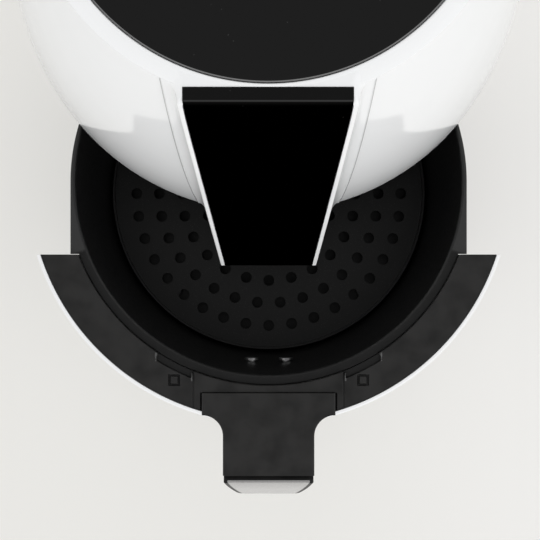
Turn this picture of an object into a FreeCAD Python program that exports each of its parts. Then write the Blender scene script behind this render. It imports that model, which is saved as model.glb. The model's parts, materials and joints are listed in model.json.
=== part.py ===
"""A round hot-air fryer with a pull-out drawer, drawn as an assembly of separate pieces.

Millimetres, +Z up, front towards -Y. Every piece is drawn about the fryer's own upright axis with the
drawer shut. The housing then stands at axis_y and the drawer is drawn out of it by drawer_open, so that
the origin lies under the middle of the whole object as it stands.
"""

import FreeCAD, Part
import math
import operator
import os

import Sketcher

SIZES = {
    # Egg-shaped housing: one arc below the belly and one above it, both upright at the belly
    "belly_radius": 133.0,
    "belly_height": 112.0,
    "crown_radius": 97.0,
    "crown_height": 304.0,
    "foot_tuck": 17.0,
    "shell_bottom": 10.0,
    "shell_wall": 2.6,
    "lip_height": 148.0,
    "sill_height": 24.0,
    "mouth_plane": 38.5,
    # Gaps between pieces
    "fit_gap": 0.2,
    "free_gap": 0.3,
    "shaft_gap": 0.05,
    # Top bezel and top panel
    "bezel_width": 8.0,
    "top_panel_thick": 3.0,
    "top_panel_sink": 0.4,
    "top_panel_edge": 0.75,
    "bezel_rise": 3.0,
    "bezel_ledge": 5.0,
    "bezel_floor": 2.0,
    # Sloping front tongue
    "tongue_overhang": 28.4,
    "tongue_head_stand": 2.8,
    "tongue_head_half": 36.2,
    "tongue_foot_half": 25.5,
    "flare_head_half": 42.6,
    "flare_foot_half": 37.6,
    "flare_step": 0.8,
    "tongue_depth": 40.0,
    "panel_thick": 1.6,
    "panel_head_half": 33.8,
    "panel_foot_half": 23.1,
    "panel_bed": 0.2,
    "strip_width": 6.0,
    "strip_thick": 2.2,
    "board_half": 18.0,
    "board_tall": 50.0,
    "board_above_foot": 14.0,
    "board_thick": 1.6,
    "board_pocket": 6.0,
    # Base, feet and screws
    "base_thick": 3.0,
    "base_inset": 0.6,
    "pad_radius": 12.0,
    "pad_peg_radius": 4.0,
    "pad_inset": 10.0,
    "post_radius": 5.0,
    "post_x": 58.0,
    "post_back_y": 46.0,
    "post_inset": 10.5,
    "sill_post_x": 50.0,
    "sill_post_out": 30.0,
    "screw_radius": 1.8,
    "screw_head_radius": 3.4,
    "screw_head_tall": 2.2,
    # Drawer bay
    "bay_clear": 1.6,
    "liner_wall": 1.0,
    "sill_step": 0.5,
    "sill_thick": 2.0,
    "frame_thick": 2.0,
    "liner_rise": 5.0,
    "deck_lift": 2.5,
    "deck_thick": 1.0,
    "rail_grip": 1.0,
    "rail_tall": 2.2,
    "runner_x": 22.0,
    "runner_width": 8.0,
    "runner_back": 70.0,
    # Heating chamber
    "reflector_brim": 5.0,
    "chamber_tall": 54.5,
    "reflector_wall": 1.0,
    "reflector_eye": 9.0,
    "grille_thick": 1.6,
    "grille_lap": 1.6,
    "grille_slot": 10.0,
    "grille_rib": 3.4,
    "heater_lift": 16.5,
    "heater_tube": 3.3,
    "heater_margin": 17.0,
    "heater_pitch": 14.5,
    "heater_run": 7.0,
    "heater_gap_angle": 28.0,
    "terminal_half": 6.0,
    "terminal_above": 12.0,
    "hanger_radius": 2.0,
    "probe_radius": 2.2,
    "probe_inset": 7.0,
    "probe_drop": 20.0,
    "probe_above": 8.0,
    "cutout_radius": 8.0,
    "cutout_tall": 7.0,
    "cutout_inset": 35.0,
    # Motor and fans
    "shaft_radius": 3.0,
    "shaft_end": 1.0,
    "shaft_over": 5.0,
    "impeller_side": 2.5,
    "impeller_clear": 8.0,
    "impeller_tall": 14.0,
    "impeller_sheet": 1.2,
    "blade_inner": 20.0,
    "blade_lean": 6.6,
    "blade_margin": 6.6,
    "hub_radius": 8.0,
    "nut_half": 4.5,
    "nut_tall": 3.0,
    "cooler_radius": 42.0,
    "cooler_clear": 4.0,
    "cooler_tall": 11.0,
    "cooler_blade_inner": 12.0,
    "cooler_blade_lean": 4.0,
    "cooler_blade_margin": 2.6,
    "bridge_clear": 5.0,
    "bridge_thick": 2.0,
    "bridge_half_x": 56.0,
    "bridge_half_y": 24.0,
    "bridge_eye": 12.0,
    "leg_radius": 4.0,
    "leg_inset": 6.0,
    "motor_radius": 34.0,
    "motor_tall": 30.0,
    "motor_boss_radius": 9.0,
    "motor_boss_tall": 5.0,
    "motor_screw_place": 28.0,
    "motor_screw_bite": 5.0,
    # Electronics
    "power_x": 38.0,
    "power_near": 60.0,
    "power_far": 102.0,
    "power_thick": 1.6,
    "power_lift": 10.0,
    "power_post_radius": 3.0,
    "part_tall": 14.0,
    "part_radius": 7.0,
    "part_inset": 6.0,
    "switch_half": 10.0,
    "switch_below": 8.0,
    "switch_tall": 16.0,
    "switch_deep": 12.0,
    "plunger_radius": 1.8,
    "plunger_drop": 18.2,
    "plunger_grip": 8.0,
    "plunger_travel": 2.5,
    "terminal_x": 22.0,
    "terminal_wide": 26.0,
    "terminal_clear": 6.0,
    "terminal_deep": 12.0,
    "terminal_tall": 16.0,
    # Back of the housing
    "vent_half": 40.0,
    "vent_lift": 8.5,
    "vent_tall": 42.0,
    "vent_stand": 10.0,
    "vent_frame": 6.0,
    "vent_slot": 4.0,
    "vent_bar": 3.5,
    "vent_face": 3.0,
    "duct_wall": 1.5,
    "gland_height": 46.0,
    "gland_radius": 7.0,
    "gland_collar": 10.5,
    "gland_bore": 3.7,
    "gland_within": 14.0,
    "gland_stand": 12.0,
    "gland_collar_stand": 4.0,
    # Drawer
    "drawer_open": 115.0,
    "mouth_gap": 0.8,
    "pan_ring": 5.6,
    "pan_draft": 5.2,
    "pan_lift": 12.0,
    "pan_corner": 8.0,
    "pan_wall": 1.2,
    "flange_side": 2.7,
    "flange_sink": 1.8,
    "trim_width": 18.8,
    "trim_wall": 2.5,
    "trim_sink": 0.6,
    "trim_plate": 2.6,
    "trim_lift": 19.0,
    "front_inset": 1.6,
    "front_wall": 2.0,
    "sill_gap": 2.0,
    "front_gap": 2.4,
    "front_lip": 4.3,
    "cap_wall": 2.5,
    # Handle
    "handle_gap": 1.8,
    "stem_thick": 12.2,
    "root_half": 35.8,
    "root_gap": 0.6,
    "stem_half": 24.5,
    "slab_thick": 7.0,
    "grip_drop": 48.0,
    "grip_side_radius": 70.0,
    "cover_border": 2.0,
    "cover_thick": 2.0,
    "stem_wall": 3.0,
    "stem_roof": 3.0,
    "under_thick": 1.6,
    "bracket_half": 18.0,
    "bracket_thick": 2.0,
    "bracket_tall": 64.0,
    "bracket_lap": 6.0,
    "bracket_screw_x": 10.0,
    "bracket_screw_radius": 1.6,
    "bracket_screw_bite": 8.0,
    "rivet_radius": 2.0,
    "rivet_head_radius": 4.0,
    "rivet_head_thick": 1.2,
    "rivet_drop": 42.0,
    # Crisper plate
    "crisper_clear": 2.0,
    "crisper_lift": 12.0,
    "crisper_thick": 1.2,
    "crisper_rim": 4.0,
    "crisper_hole": 3.4,
    "crisper_first_ring": 26.0,
    "crisper_margin": 14.5,
    "bumper_radius": 5.0,
    "bumper_clear": 1.5,
    "knob_radius": 10.0,
    "knob_neck": 5.0,
    "knob_tall": 15.0,
    "knob_head": 6.0,
    "knob_waist": 30.0,
}

# Counts
GRILLE_RINGS = 5
GRILLE_SPOKES = 8
HANGER_ANGLES = (60, 160, 260)
IMPELLER_BLADES = 10
COOLER_BLADES = 7
VENT_SLOTS = 4
NUT_SIDES = 6
CRISPER_RINGS = 5
CRISPER_FIRST_HOLES = 12
CRISPER_MORE_HOLES = 6

QUARTERS = ((1, 1), (-1, 1), (-1, -1), (1, -1))
SIDES = (-1, 1)
LEFT = 1
RIGHT = -1
FULL_TURN = 360.0
NUT_TURN = 15.0
LEAST_CUT = 0.01
ARC_SAMPLES = 40

OPERATORS = {"+": operator.add, "-": operator.sub, "*": operator.mul, "/": operator.truediv}


class Size:
    """A number that remembers the sheet expression it comes from."""

    def __init__(self, value, text):
        self.value = value
        self.text = text

    def join(self, sign, other, swapped=False):
        first, second = (as_size(other), self) if swapped else (self, as_size(other))
        value = OPERATORS[sign](first.value, second.value)
        return Size(value, f"({first.text} {sign} {second.text})")

    def __add__(self, other):
        return self.join("+", other)

    def __radd__(self, other):
        return self.join("+", other, swapped=True)

    def __sub__(self, other):
        return self.join("-", other)

    def __rsub__(self, other):
        return self.join("-", other, swapped=True)

    def __mul__(self, other):
        return self.join("*", other)

    def __rmul__(self, other):
        return self.join("*", other, swapped=True)

    def __truediv__(self, other):
        return self.join("/", other)

    def __neg__(self):
        return Size(-self.value, f"(0 - {self.text})")


def as_size(value):
    return value if isinstance(value, Size) else Size(value, repr(value))


def number(value):
    return value.value if isinstance(value, Size) else value


def root(size):
    return Size(math.sqrt(size.value), f"sqrt({size.text})")


def square(size):
    return size * size


def slope_angle(run, rise):
    """The angle from upright, in degrees, of a face that goes out by run over rise."""
    return Size(math.degrees(math.atan(run.value / rise.value)), f"atan({run.text} / {rise.text})")


def sine(angle):
    return Size(math.sin(math.radians(angle.value)), f"sin({angle.text})")


def cosine(angle):
    return Size(math.cos(math.radians(angle.value)), f"cos({angle.text})")


# Document and sheet

doc = FreeCAD.newDocument("hot_air_fryer")
sheet = doc.addObject("Spreadsheet::Sheet", "dims")


class Dimensions:
    """The sheet's cells, read by name."""


d = Dimensions()
for row, (name, size) in enumerate(SIZES.items(), 1):
    sheet.set(f"A{row}", name)
    sheet.set(f"B{row}", str(size))
    sheet.setAlias(f"B{row}", name)
doc.recompute()
for name in SIZES:
    setattr(d, name, Size(float(sheet.get(name)), f"dims.{name}"))

pieces = []
cuts = []


# Drawing helpers


def bind(thing, prop, size):
    """Sets a property to a size, and ties it to the sheet."""
    if isinstance(size, Size):
        thing.setExpression(prop, size.text)
    elif size:
        thing.setExpression(prop, repr(size))


def new_body(label):
    body = doc.addObject("PartDesign::Body", label)
    body.Label = label
    return body


def origin_feature(body, role):
    return next(f for f in body.Origin.OriginFeatures if f.Role == role)


def sketch_on(body, plane, lift=0):
    """A sketch on XY lifted up, on XZ moved to the front (-Y), or on YZ moved to the right."""
    sketch = body.newObject("Sketcher::SketchObject", "Sketch")
    sketch.AttachmentSupport = [(origin_feature(body, f"{plane}_Plane"), "")]
    sketch.MapMode = "FlatFace"
    bind(sketch, "AttachmentOffset.Base.z", lift)
    return sketch


def sketch_on_slope(body, sink=0):
    """A sketch on the tongue's sloping front, or sunk under it: y runs up the slope from its foot."""
    sketch = sketch_on(body, "XZ")
    sketch.AttachmentOffset = FreeCAD.Placement(
        FreeCAD.Vector(0, d.lip_height.value, tongue_reach.value),
        FreeCAD.Rotation(FreeCAD.Vector(-1, 0, 0), tilt.value),
    )
    bind(sketch, "AttachmentOffset.Base.y", d.lip_height - sink * sine(tilt))
    bind(sketch, "AttachmentOffset.Base.z", tongue_reach - sink * cosine(tilt))
    bind(sketch, "AttachmentOffset.Rotation.Angle", tilt)
    return sketch


def pin(geometry, end, x, y):
    """Constraints that hold one point of a sketch, each with the size that drives it."""
    held = []
    for kind, axis, value in (("DistanceX", -2, x), ("DistanceY", -1, y)):
        if number(value) == 0 and not isinstance(value, Size):
            held.append((Sketcher.Constraint("PointOnObject", geometry, end, axis), None))
        else:
            held.append((Sketcher.Constraint(kind, -1, 1, geometry, end, number(value)), value))
    return held


def hold(sketch, held):
    """Adds constraints to a sketch and ties their sizes to the sheet."""
    places = sketch.addConstraint([constraint for constraint, value in held])
    for place, (constraint, value) in zip(places, held):
        if value is not None:
            bind(sketch, f"Constraints[{place}]", value)


def arc_between(a, b, radius, turn):
    """The arc of under a half circle from a to b that turns left or right."""
    chord = b - a
    aside = math.sqrt(max(radius * radius - chord.Length * chord.Length / 4, 0.0))
    normal = FreeCAD.Vector(-chord.y, chord.x, 0) / chord.Length
    centre = (a + b) / 2 + normal * (aside * turn)
    first, last = (a, b) if turn == LEFT else (b, a)
    angles = [math.atan2(p.y - centre.y, p.x - centre.x) for p in (first, last)]
    circle = Part.Circle(centre, FreeCAD.Vector(0, 0, 1), radius)
    return Part.ArcOfCircle(circle, *angles)


def draw(sketch, *stops):
    """A closed outline. A stop is (x, y), or (x, y, radius, turn) where an arc leads to it."""
    corners = [FreeCAD.Vector(number(stop[0]), number(stop[1]), 0) for stop in stops]
    edges = []
    held = []
    for place, stop in enumerate(stops):
        a, b = corners[place - 1], corners[place]
        if len(stop) == 2:
            edges.append((sketch.addGeometry(Part.LineSegment(a, b)), 1, 2))
            continue
        radius, turn = stop[2:]
        geometry = sketch.addGeometry(arc_between(a, b, number(radius), turn))
        edges.append((geometry, 1, 2) if turn == LEFT else (geometry, 2, 1))
        held.append((Sketcher.Constraint("Radius", geometry, number(radius)), radius))
    for place, (geometry, start, end) in enumerate(edges):
        after, after_start = edges[(place + 1) % len(edges)][:2]
        held.append((Sketcher.Constraint("Coincident", geometry, end, after, after_start), None))
        held.extend(pin(geometry, end, *stops[place][:2]))
    hold(sketch, held)
    return sketch


def draw_box(sketch, left, low, right, high):
    return draw(sketch, (left, low), (right, low), (right, high), (left, high))


def draw_circle(sketch, x, y, radius):
    centre = FreeCAD.Vector(number(x), number(y), 0)
    geometry = sketch.addGeometry(Part.Circle(centre, FreeCAD.Vector(0, 0, 1), number(radius)))
    held = [(Sketcher.Constraint("Radius", geometry, number(radius)), radius)]
    hold(sketch, held + pin(geometry, 3, x, y))
    return sketch


def feature(body, kind, sketch):
    made = body.newObject(f"PartDesign::{kind}", kind)
    made.Profile = sketch
    return made


def pad(body, sketch, length, inward=False):
    """Thickens a sketch along its plane's normal, or against it."""
    made = feature(body, "Pad", sketch)
    bind(made, "Length", length)
    made.Reversed = inward
    return made


def pocket(body, sketch, length=None, along=False):
    """Cuts a sketch against its plane's normal, or along it, to a length or right through."""
    made = feature(body, "Pocket", sketch)
    if length is None:
        made.Type = "ThroughAll"
    else:
        bind(made, "Length", length)
    made.Reversed = along
    cuts.append(made)
    return made


def spin(body, sketch, axis="V_Axis"):
    made = feature(body, "Revolution", sketch)
    made.ReferenceAxis = (sketch, [axis])
    made.Angle = FULL_TURN
    return made


def groove(body, sketch):
    made = feature(body, "Groove", sketch)
    made.ReferenceAxis = (sketch, ["V_Axis"])
    made.Angle = FULL_TURN
    cuts.append(made)
    return made


def polar(body, features, count):
    pattern = body.newObject("PartDesign::PolarPattern", "PolarPattern")
    pattern.Originals = features
    pattern.Axis = (origin_feature(body, "Z_Axis"), [""])
    pattern.Angle = FULL_TURN
    pattern.Occurrences = count
    body.Tip = pattern
    return pattern


def turned(label, *stops):
    """A body of revolution about the upright axis, from its half section in x and z."""
    body = new_body(label)
    spin(body, draw(sketch_on(body, "XZ"), *stops))
    return body


def plate(label, bottom, thick, *stops):
    """A flat body of one thickness, from its plan."""
    body = new_body(label)
    pad(body, draw(sketch_on(body, "XY", bottom), *stops), thick)
    return body


def block(label, low, high):
    """An upright box between two opposite corners."""
    body = new_body(label)
    sketch = draw_box(sketch_on(body, "XY", low[2]), low[0], low[1], high[0], high[1])
    pad(body, sketch, high[2] - low[2])
    return body


def rod(x, y, bottom, radius, tall):
    """An upright cylinder."""
    made = doc.addObject("Part::Cylinder", "Cylinder")
    bind(made, "Radius", radius)
    bind(made, "Height", tall)
    for axis, value in (("x", x), ("y", y), ("z", bottom)):
        bind(made, f"Placement.Base.{axis}", value)
    return made


def joined(*parts):
    made = doc.addObject("Part::MultiFuse", "Fuse")
    made.Shapes = list(parts)
    return made


def group(label, parts):
    """Separate like solids under one name."""
    made = doc.addObject("Part::Compound", label)
    made.Label = label
    made.Links = list(parts)
    return made


def keep(piece, *, in_drawer=False):
    """Stands a finished piece in the whole object, and lists it for export."""
    bind(piece, "Placement.Base.y", axis_y - d.drawer_open if in_drawer else axis_y)
    pieces.append(piece)
    return piece


# Shapes and places that several pieces share

upper_arc = (square(d.crown_height - d.belly_height) + square(d.belly_radius - d.crown_radius)) / (
    2 * (d.belly_radius - d.crown_radius)
)
lower_arc = (square(d.belly_height - d.shell_bottom) + square(d.foot_tuck)) / (2 * d.foot_tuck)
foot_radius = d.belly_radius - d.foot_tuck

# Wider than anything that is cut
across = 3 * d.belly_radius


def radius_above(height, inset=0):
    """The housing's radius above the belly, taken in by an inset."""
    arc = upper_arc - inset
    return d.belly_radius - upper_arc + root(square(arc) - square(height - d.belly_height))


def radius_below(height, inset=0):
    """The housing's radius below the belly, taken in by an inset."""
    arc = lower_arc - inset
    return d.belly_radius - lower_arc + root(square(arc) - square(height - d.belly_height))


# Crown and tongue
top_panel_radius = d.crown_radius - d.bezel_width
strip_inner = d.crown_radius - d.strip_width
tongue_head_reach = d.crown_radius + d.tongue_head_stand
tongue_reach = radius_above(d.lip_height) + d.tongue_overhang
tilt = slope_angle(tongue_reach - tongue_head_reach, d.crown_height - d.lip_height)
slope_long = (d.crown_height - d.lip_height) / cosine(tilt)

# Heights of the drawer and its bay
drawer_end = d.mouth_plane + d.mouth_gap
liner_floor = d.sill_height + d.liner_rise
liner_bottom = liner_floor - d.liner_wall
liner_front = d.mouth_plane - d.fit_gap
sill_top = d.sill_height - d.sill_step
sill_bottom = sill_top - d.sill_thick
front_low = d.sill_height + d.sill_gap
cap_low = front_low + d.front_wall + d.sill_gap
trim_low = front_low + d.trim_lift
pan_floor = d.sill_height + d.pan_lift
front_top = d.lip_height - d.front_gap
trim_top = front_top - d.trim_sink
flange_top = trim_top - d.flange_sink
handle_top = d.lip_height - d.handle_gap
handle_bottom = handle_top - d.stem_thick

# Radii of the drawer, from its front inwards
front_inner_inset = d.front_inset + d.front_wall
front_return = radius_below(front_low, front_inner_inset) - d.front_lip
trim_outer = radius_above(trim_top, front_inner_inset) - d.fit_gap
trim_inner = trim_outer - d.trim_width
pan_top_radius = trim_inner - d.pan_ring
pan_floor_radius = pan_top_radius - d.pan_draft
flange_half = pan_top_radius + d.flange_side
bay_half = flange_half + d.bay_clear
crisper_radius = pan_floor_radius - d.crisper_clear
crisper_height = pan_floor + d.crisper_lift
bumper_place = pan_floor_radius - d.pan_corner - d.bumper_radius - d.bumper_clear

# Handle
root_back = trim_inner + d.trim_wall + d.root_gap
root_front = root(square(radius_above(handle_top, d.front_inset)) - square(d.root_half))
bracket_near = trim_inner + d.trim_wall + d.fit_gap
bracket_top = handle_bottom - d.free_gap
bracket_low = handle_bottom - d.bracket_tall
bracket_screw_y = (root_back + root_front) / 2
bracket_leg = bracket_screw_y + d.bracket_lap
bracket_screw_tip = handle_bottom + d.bracket_screw_bite
rivet_height = handle_bottom - d.rivet_drop
grip_top = (d.lip_height - handle_top) / cosine(tilt)
grip_tip_reach = tongue_reach + (grip_top + d.grip_drop) * sine(tilt)

# Heating chamber, motor and back of the housing, from the deck upwards
deck_height = d.lip_height + d.deck_lift
deck_top = deck_height + d.deck_thick
deck_hole = pan_top_radius + d.free_gap
reflector_radius = deck_hole + d.grille_lap + d.fit_gap + d.reflector_wall
reflector_flange = reflector_radius + d.reflector_brim
reflector_top = deck_top + d.chamber_tall
reflector_roof = reflector_top - d.reflector_wall
heater_height = deck_top + d.heater_lift
heater_outer = reflector_radius - d.reflector_wall - d.heater_margin
heater_inner = heater_outer - d.heater_pitch
probe_place = reflector_radius - d.reflector_wall - d.probe_inset
impeller_radius = heater_inner - d.terminal_half - d.impeller_side
impeller_bottom = reflector_roof - d.impeller_clear - d.impeller_tall
shaft_bottom = impeller_bottom - d.nut_tall - d.shaft_end
cooler_bottom = reflector_top + d.cooler_clear
bridge_height = cooler_bottom + d.cooler_tall + d.bridge_clear
motor_low = bridge_height + d.bridge_thick
motor_high = motor_low + d.motor_tall
shaft_top = motor_high + d.motor_boss_tall + d.shaft_over
vent_low = deck_top + d.vent_lift
vent_reach = radius_above(vent_low) + d.vent_stand
base_bottom = d.shell_bottom - d.base_thick
pad_place = (foot_radius - d.base_inset - d.pad_radius - d.pad_inset) / math.sqrt(2)

# Drawer switch
plunger_height = flange_top - d.plunger_drop
plunger_tip = pan_top_radius + d.pan_wall + d.free_gap
switch_near = bay_half + d.liner_wall + d.fit_gap
switch_low = plunger_height - d.switch_below
plunger_long = switch_near - plunger_tip + d.plunger_grip

axis_y = (d.drawer_open + grip_tip_reach - vent_reach) / 2


def band(low, high, outer, inner):
    """The half section of a wall that follows the housing, between two heights and two insets."""
    return (
        (radius_below(low, outer), low),
        (d.belly_radius - outer, d.belly_height, lower_arc - outer, LEFT),
        (radius_above(high, outer), high, upper_arc - outer, LEFT),
        (radius_above(high, inner), high),
        (d.belly_radius - inner, d.belly_height, upper_arc - inner, RIGHT),
        (radius_below(low, inner), low, lower_arc - inner, RIGHT),
    )


def cut_envelope(body, inset):
    """Takes away all that lies within the housing's outside, so that what is left sits on it."""
    sketch = draw(
        sketch_on(body, "XZ"),
        (0, d.shell_bottom),
        (radius_below(d.shell_bottom, inset), d.shell_bottom),
        (d.belly_radius - inset, d.belly_height, lower_arc - inset, LEFT),
        (radius_above(d.crown_height, inset), d.crown_height, upper_arc - inset, LEFT),
        (0, d.crown_height),
    )
    return groove(body, sketch)


def cut_behind(body, plane):
    """Takes away all that lies behind an upright plane in front of the axis."""
    sketch = draw_box(sketch_on(body, "XY"), -across, -plane, across, across)
    return pocket(body, sketch, along=True)


def cut_in_front(body, plane):
    """Takes away all that lies before an upright plane in front of the axis."""
    sketch = draw_box(sketch_on(body, "XY"), -across, -across, across, -plane)
    return pocket(body, sketch, along=True)


def trapezium(sketch, foot_half, head_half, low, high):
    return draw(sketch, (-foot_half, low), (foot_half, low), (head_half, high), (-head_half, high))


# Housing


def make_outer_shell():
    body = turned("outer_shell", *band(d.shell_bottom, d.crown_height, 0, d.shell_wall))
    mouth = sketch_on(body, "XZ", d.mouth_plane)
    pocket(body, draw_box(mouth, -across, d.sill_height, across, d.lip_height), along=True)
    duct = sketch_on(body, "XZ")
    duct_half = d.vent_half - d.vent_frame + d.fit_gap
    duct_low = vent_low + d.vent_frame - d.fit_gap
    duct_high = vent_low + d.vent_tall - d.vent_frame + d.fit_gap
    pocket(body, draw_box(duct, -duct_half, duct_low, duct_half, duct_high))
    gland = sketch_on(body, "XZ")
    pocket(body, draw_circle(gland, 0, d.gland_height, d.gland_radius + d.fit_gap))
    return keep(body)


def make_top_bezel():
    """The white ring on the crown, with a seat for the top panel and a notch for the front strip."""
    seat_radius = top_panel_radius + d.free_gap
    top = d.crown_height + d.bezel_rise
    seat = top - d.top_panel_sink - d.top_panel_thick
    spigot = radius_above(d.crown_height, d.shell_wall) - d.free_gap
    body = turned(
        "top_bezel",
        (d.crown_radius, d.crown_height),
        (seat_radius, top),
        (seat_radius, seat),
        (top_panel_radius - d.bezel_ledge, seat),
        (top_panel_radius - d.bezel_ledge, seat - d.bezel_floor),
        (spigot, seat - d.bezel_floor),
        (spigot, d.crown_height),
    )
    notch_half = d.panel_head_half + d.fit_gap
    notch = sketch_on(body, "XY", d.crown_height)
    draw_box(notch, -notch_half, -across, notch_half, -(strip_inner - d.fit_gap))
    pocket(body, notch, along=True)
    return keep(body)


def make_top_panel():
    high = d.crown_height + d.bezel_rise - d.top_panel_sink
    low = high - d.top_panel_thick
    edge = d.top_panel_edge
    body = turned(
        "top_panel",
        (0, low),
        (top_panel_radius, low),
        (top_panel_radius, high - edge),
        (top_panel_radius - edge, high, edge, LEFT),
        (0, high),
    )
    return keep(body)


def make_front_bezel():
    """The white tongue: it widens onto the housing and carries the black panel."""
    body = new_body("front_bezel")
    sections = []
    for height, half, reach, flare, skin in (
        (d.lip_height, d.tongue_foot_half, tongue_reach, d.flare_foot_half, radius_above(d.lip_height)),
        (d.crown_height, d.tongue_head_half, tongue_head_reach, d.flare_head_half, d.crown_radius),
    ):
        side = root(square(skin) - square(flare)) + d.flare_step
        back = d.tongue_depth
        sketch = sketch_on(body, "XY", height)
        outline = ((flare, -back), (-flare, -back), (-flare, -side), (-half, -reach), (half, -reach))
        sections.append(draw(sketch, *outline, (flare, -side)))
    loft = feature(body, "AdditiveLoft", sections[0])
    loft.Sections = sections[1:]
    loft.Ruled = True
    cut_envelope(body, -d.fit_gap)
    bed = sketch_on_slope(body)
    high = slope_long + d.strip_thick
    trapezium(bed, d.panel_foot_half + d.fit_gap, d.panel_head_half + d.fit_gap, -d.strip_thick, high)
    pocket(body, bed, d.panel_thick + d.panel_bed)
    board = sketch_on_slope(body)
    half = d.board_half + d.fit_gap
    low = d.board_above_foot - d.fit_gap
    draw_box(board, -half, low, half, low + d.board_tall + 2 * d.fit_gap)
    pocket(body, board, d.board_pocket)
    return keep(body)


def make_front_panel():
    """The black panel: a sloping sheet that folds over the crown in a narrow strip."""
    body = new_body("front_panel")
    high = slope_long + d.strip_thick / cosine(tilt)
    slope = trapezium(sketch_on_slope(body), d.panel_foot_half, d.panel_head_half, 0, high)
    pad(body, slope, d.panel_thick, inward=True)
    strip = sketch_on(body, "XY", d.crown_height + d.shaft_gap)
    front = tongue_head_reach - d.panel_thick
    draw_box(strip, -d.panel_head_half, -front, d.panel_head_half, -strip_inner)
    pad(body, strip, d.strip_thick)
    return keep(body)


def make_display_board():
    """The lamp and touch board, on the floor of the bezel's deeper pocket."""
    body = new_body("display_board")
    sketch = sketch_on_slope(body, d.board_pocket - d.board_thick)
    draw_box(sketch, -d.board_half, d.board_above_foot, d.board_half, d.board_above_foot + d.board_tall)
    pad(body, sketch, d.board_thick, inward=True)
    return keep(body)


def post_places():
    """Where the base's four posts carry the liner's floor."""
    return [(sign * d.post_x, y) for sign in SIDES for y in (d.post_back_y, d.post_inset - d.mouth_plane)]


def make_base_plate():
    body = new_body("base_plate")
    disc = draw_circle(sketch_on(body, "XY", base_bottom), 0, 0, foot_radius - d.base_inset)
    pad(body, disc, d.base_thick)
    posts = sketch_on(body, "XY", d.shell_bottom)
    sill_posts = sketch_on(body, "XY", d.shell_bottom)
    bores = sketch_on(body, "XY", base_bottom)
    heads = sketch_on(body, "XY", base_bottom)
    pegs = sketch_on(body, "XY", base_bottom)
    for x, y in post_places():
        draw_circle(posts, x, y, d.post_radius)
        draw_circle(bores, x, y, d.screw_radius + d.fit_gap)
        draw_circle(heads, x, y, d.screw_head_radius + d.fit_gap)
    for sign in SIDES:
        draw_circle(sill_posts, sign * d.sill_post_x, -d.mouth_plane - d.sill_post_out, d.post_radius)
    for sign_x, sign_y in QUARTERS:
        draw_circle(pegs, sign_x * pad_place, sign_y * pad_place, d.pad_peg_radius)
    pad(body, posts, liner_bottom - d.shell_bottom)
    pad(body, sill_posts, sill_bottom - d.shell_bottom)
    pocket(body, bores, along=True)
    pocket(body, heads, d.screw_head_tall, along=True)
    pocket(body, pegs, d.base_thick, along=True)
    return keep(body)


def make_rubber_feet():
    feet = []
    for sign_x, sign_y in QUARTERS:
        x, y = sign_x * pad_place, sign_y * pad_place
        foot = rod(x, y, 0, d.pad_radius, base_bottom)
        peg = rod(x, y, 0, d.pad_peg_radius - d.shaft_gap, d.shell_bottom)
        feet.append(joined(foot, peg))
    return keep(group("rubber_feet", feet))


def make_base_screws():
    screws = []
    for x, y in post_places():
        head = rod(x, y, base_bottom, d.screw_head_radius, d.screw_head_tall)
        shank = rod(x, y, base_bottom, d.screw_radius, liner_bottom - base_bottom)
        screws.append(joined(head, shank))
    return keep(group("base_screws", screws))


# Drawer bay


def bay_plan(half, front):
    """A plan with a round back and straight sides that run to the front."""
    return (-half, -front), (half, -front), (half, 0), (0, half, half, LEFT), (-half, 0, half, LEFT)


def make_bay_liner():
    outline = bay_plan(bay_half + d.liner_wall, liner_front)
    body = plate("bay_liner", liner_bottom, deck_height - liner_bottom, *outline)
    hollow = draw(sketch_on(body, "XY", liner_floor), *bay_plan(bay_half, liner_front + d.liner_wall))
    pocket(body, hollow, along=True)
    eye = draw_circle(sketch_on(body, "XZ"), 0, plunger_height, d.plunger_radius + d.free_gap)
    pocket(body, eye)
    return keep(body)


def make_side_rails():
    """Two strips on the liner's walls, under the pan's flange."""
    edge = flange_half - d.rail_grip
    high = flange_top - d.pan_wall - d.free_gap
    for name, sign in (("left_rail", -1), ("right_rail", 1)):
        body = new_body(name)
        sketch = sketch_on(body, "XY", high - d.rail_tall)
        draw_box(sketch, sign * edge, -liner_front, sign * bay_half, 0)
        pad(body, sketch, d.rail_tall)
        keep(body)


def make_floor_runners():
    runners = []
    high = pan_floor - d.pan_wall - d.free_gap
    for sign in SIDES:
        runner = doc.addObject("Part::Box", "Box")
        bind(runner, "Length", d.runner_width)
        bind(runner, "Width", liner_front + d.runner_back)
        bind(runner, "Height", high - liner_floor)
        bind(runner, "Placement.Base.x", sign * d.runner_x - d.runner_width / 2)
        bind(runner, "Placement.Base.y", -liner_front)
        bind(runner, "Placement.Base.z", liner_floor)
        runners.append(runner)
    return keep(group("floor_runners", runners))


def make_sill_plate():
    """The floor in front of the liner, with a riser up to the liner's floor."""
    rim = radius_below(sill_bottom, d.shell_wall) - d.free_gap
    back = liner_front - d.sill_thick
    half = root(square(rim) - square(back))
    arcs = (0, -rim, rim, LEFT), (half, -back, rim, LEFT)
    body = plate("sill_plate", sill_bottom, d.sill_thick, (-half, -back), *arcs)
    riser = sketch_on(body, "XY", sill_bottom)
    draw_box(riser, -bay_half, -liner_front, bay_half, -back)
    pad(body, riser, liner_bottom - sill_bottom)
    return keep(body)


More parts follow.
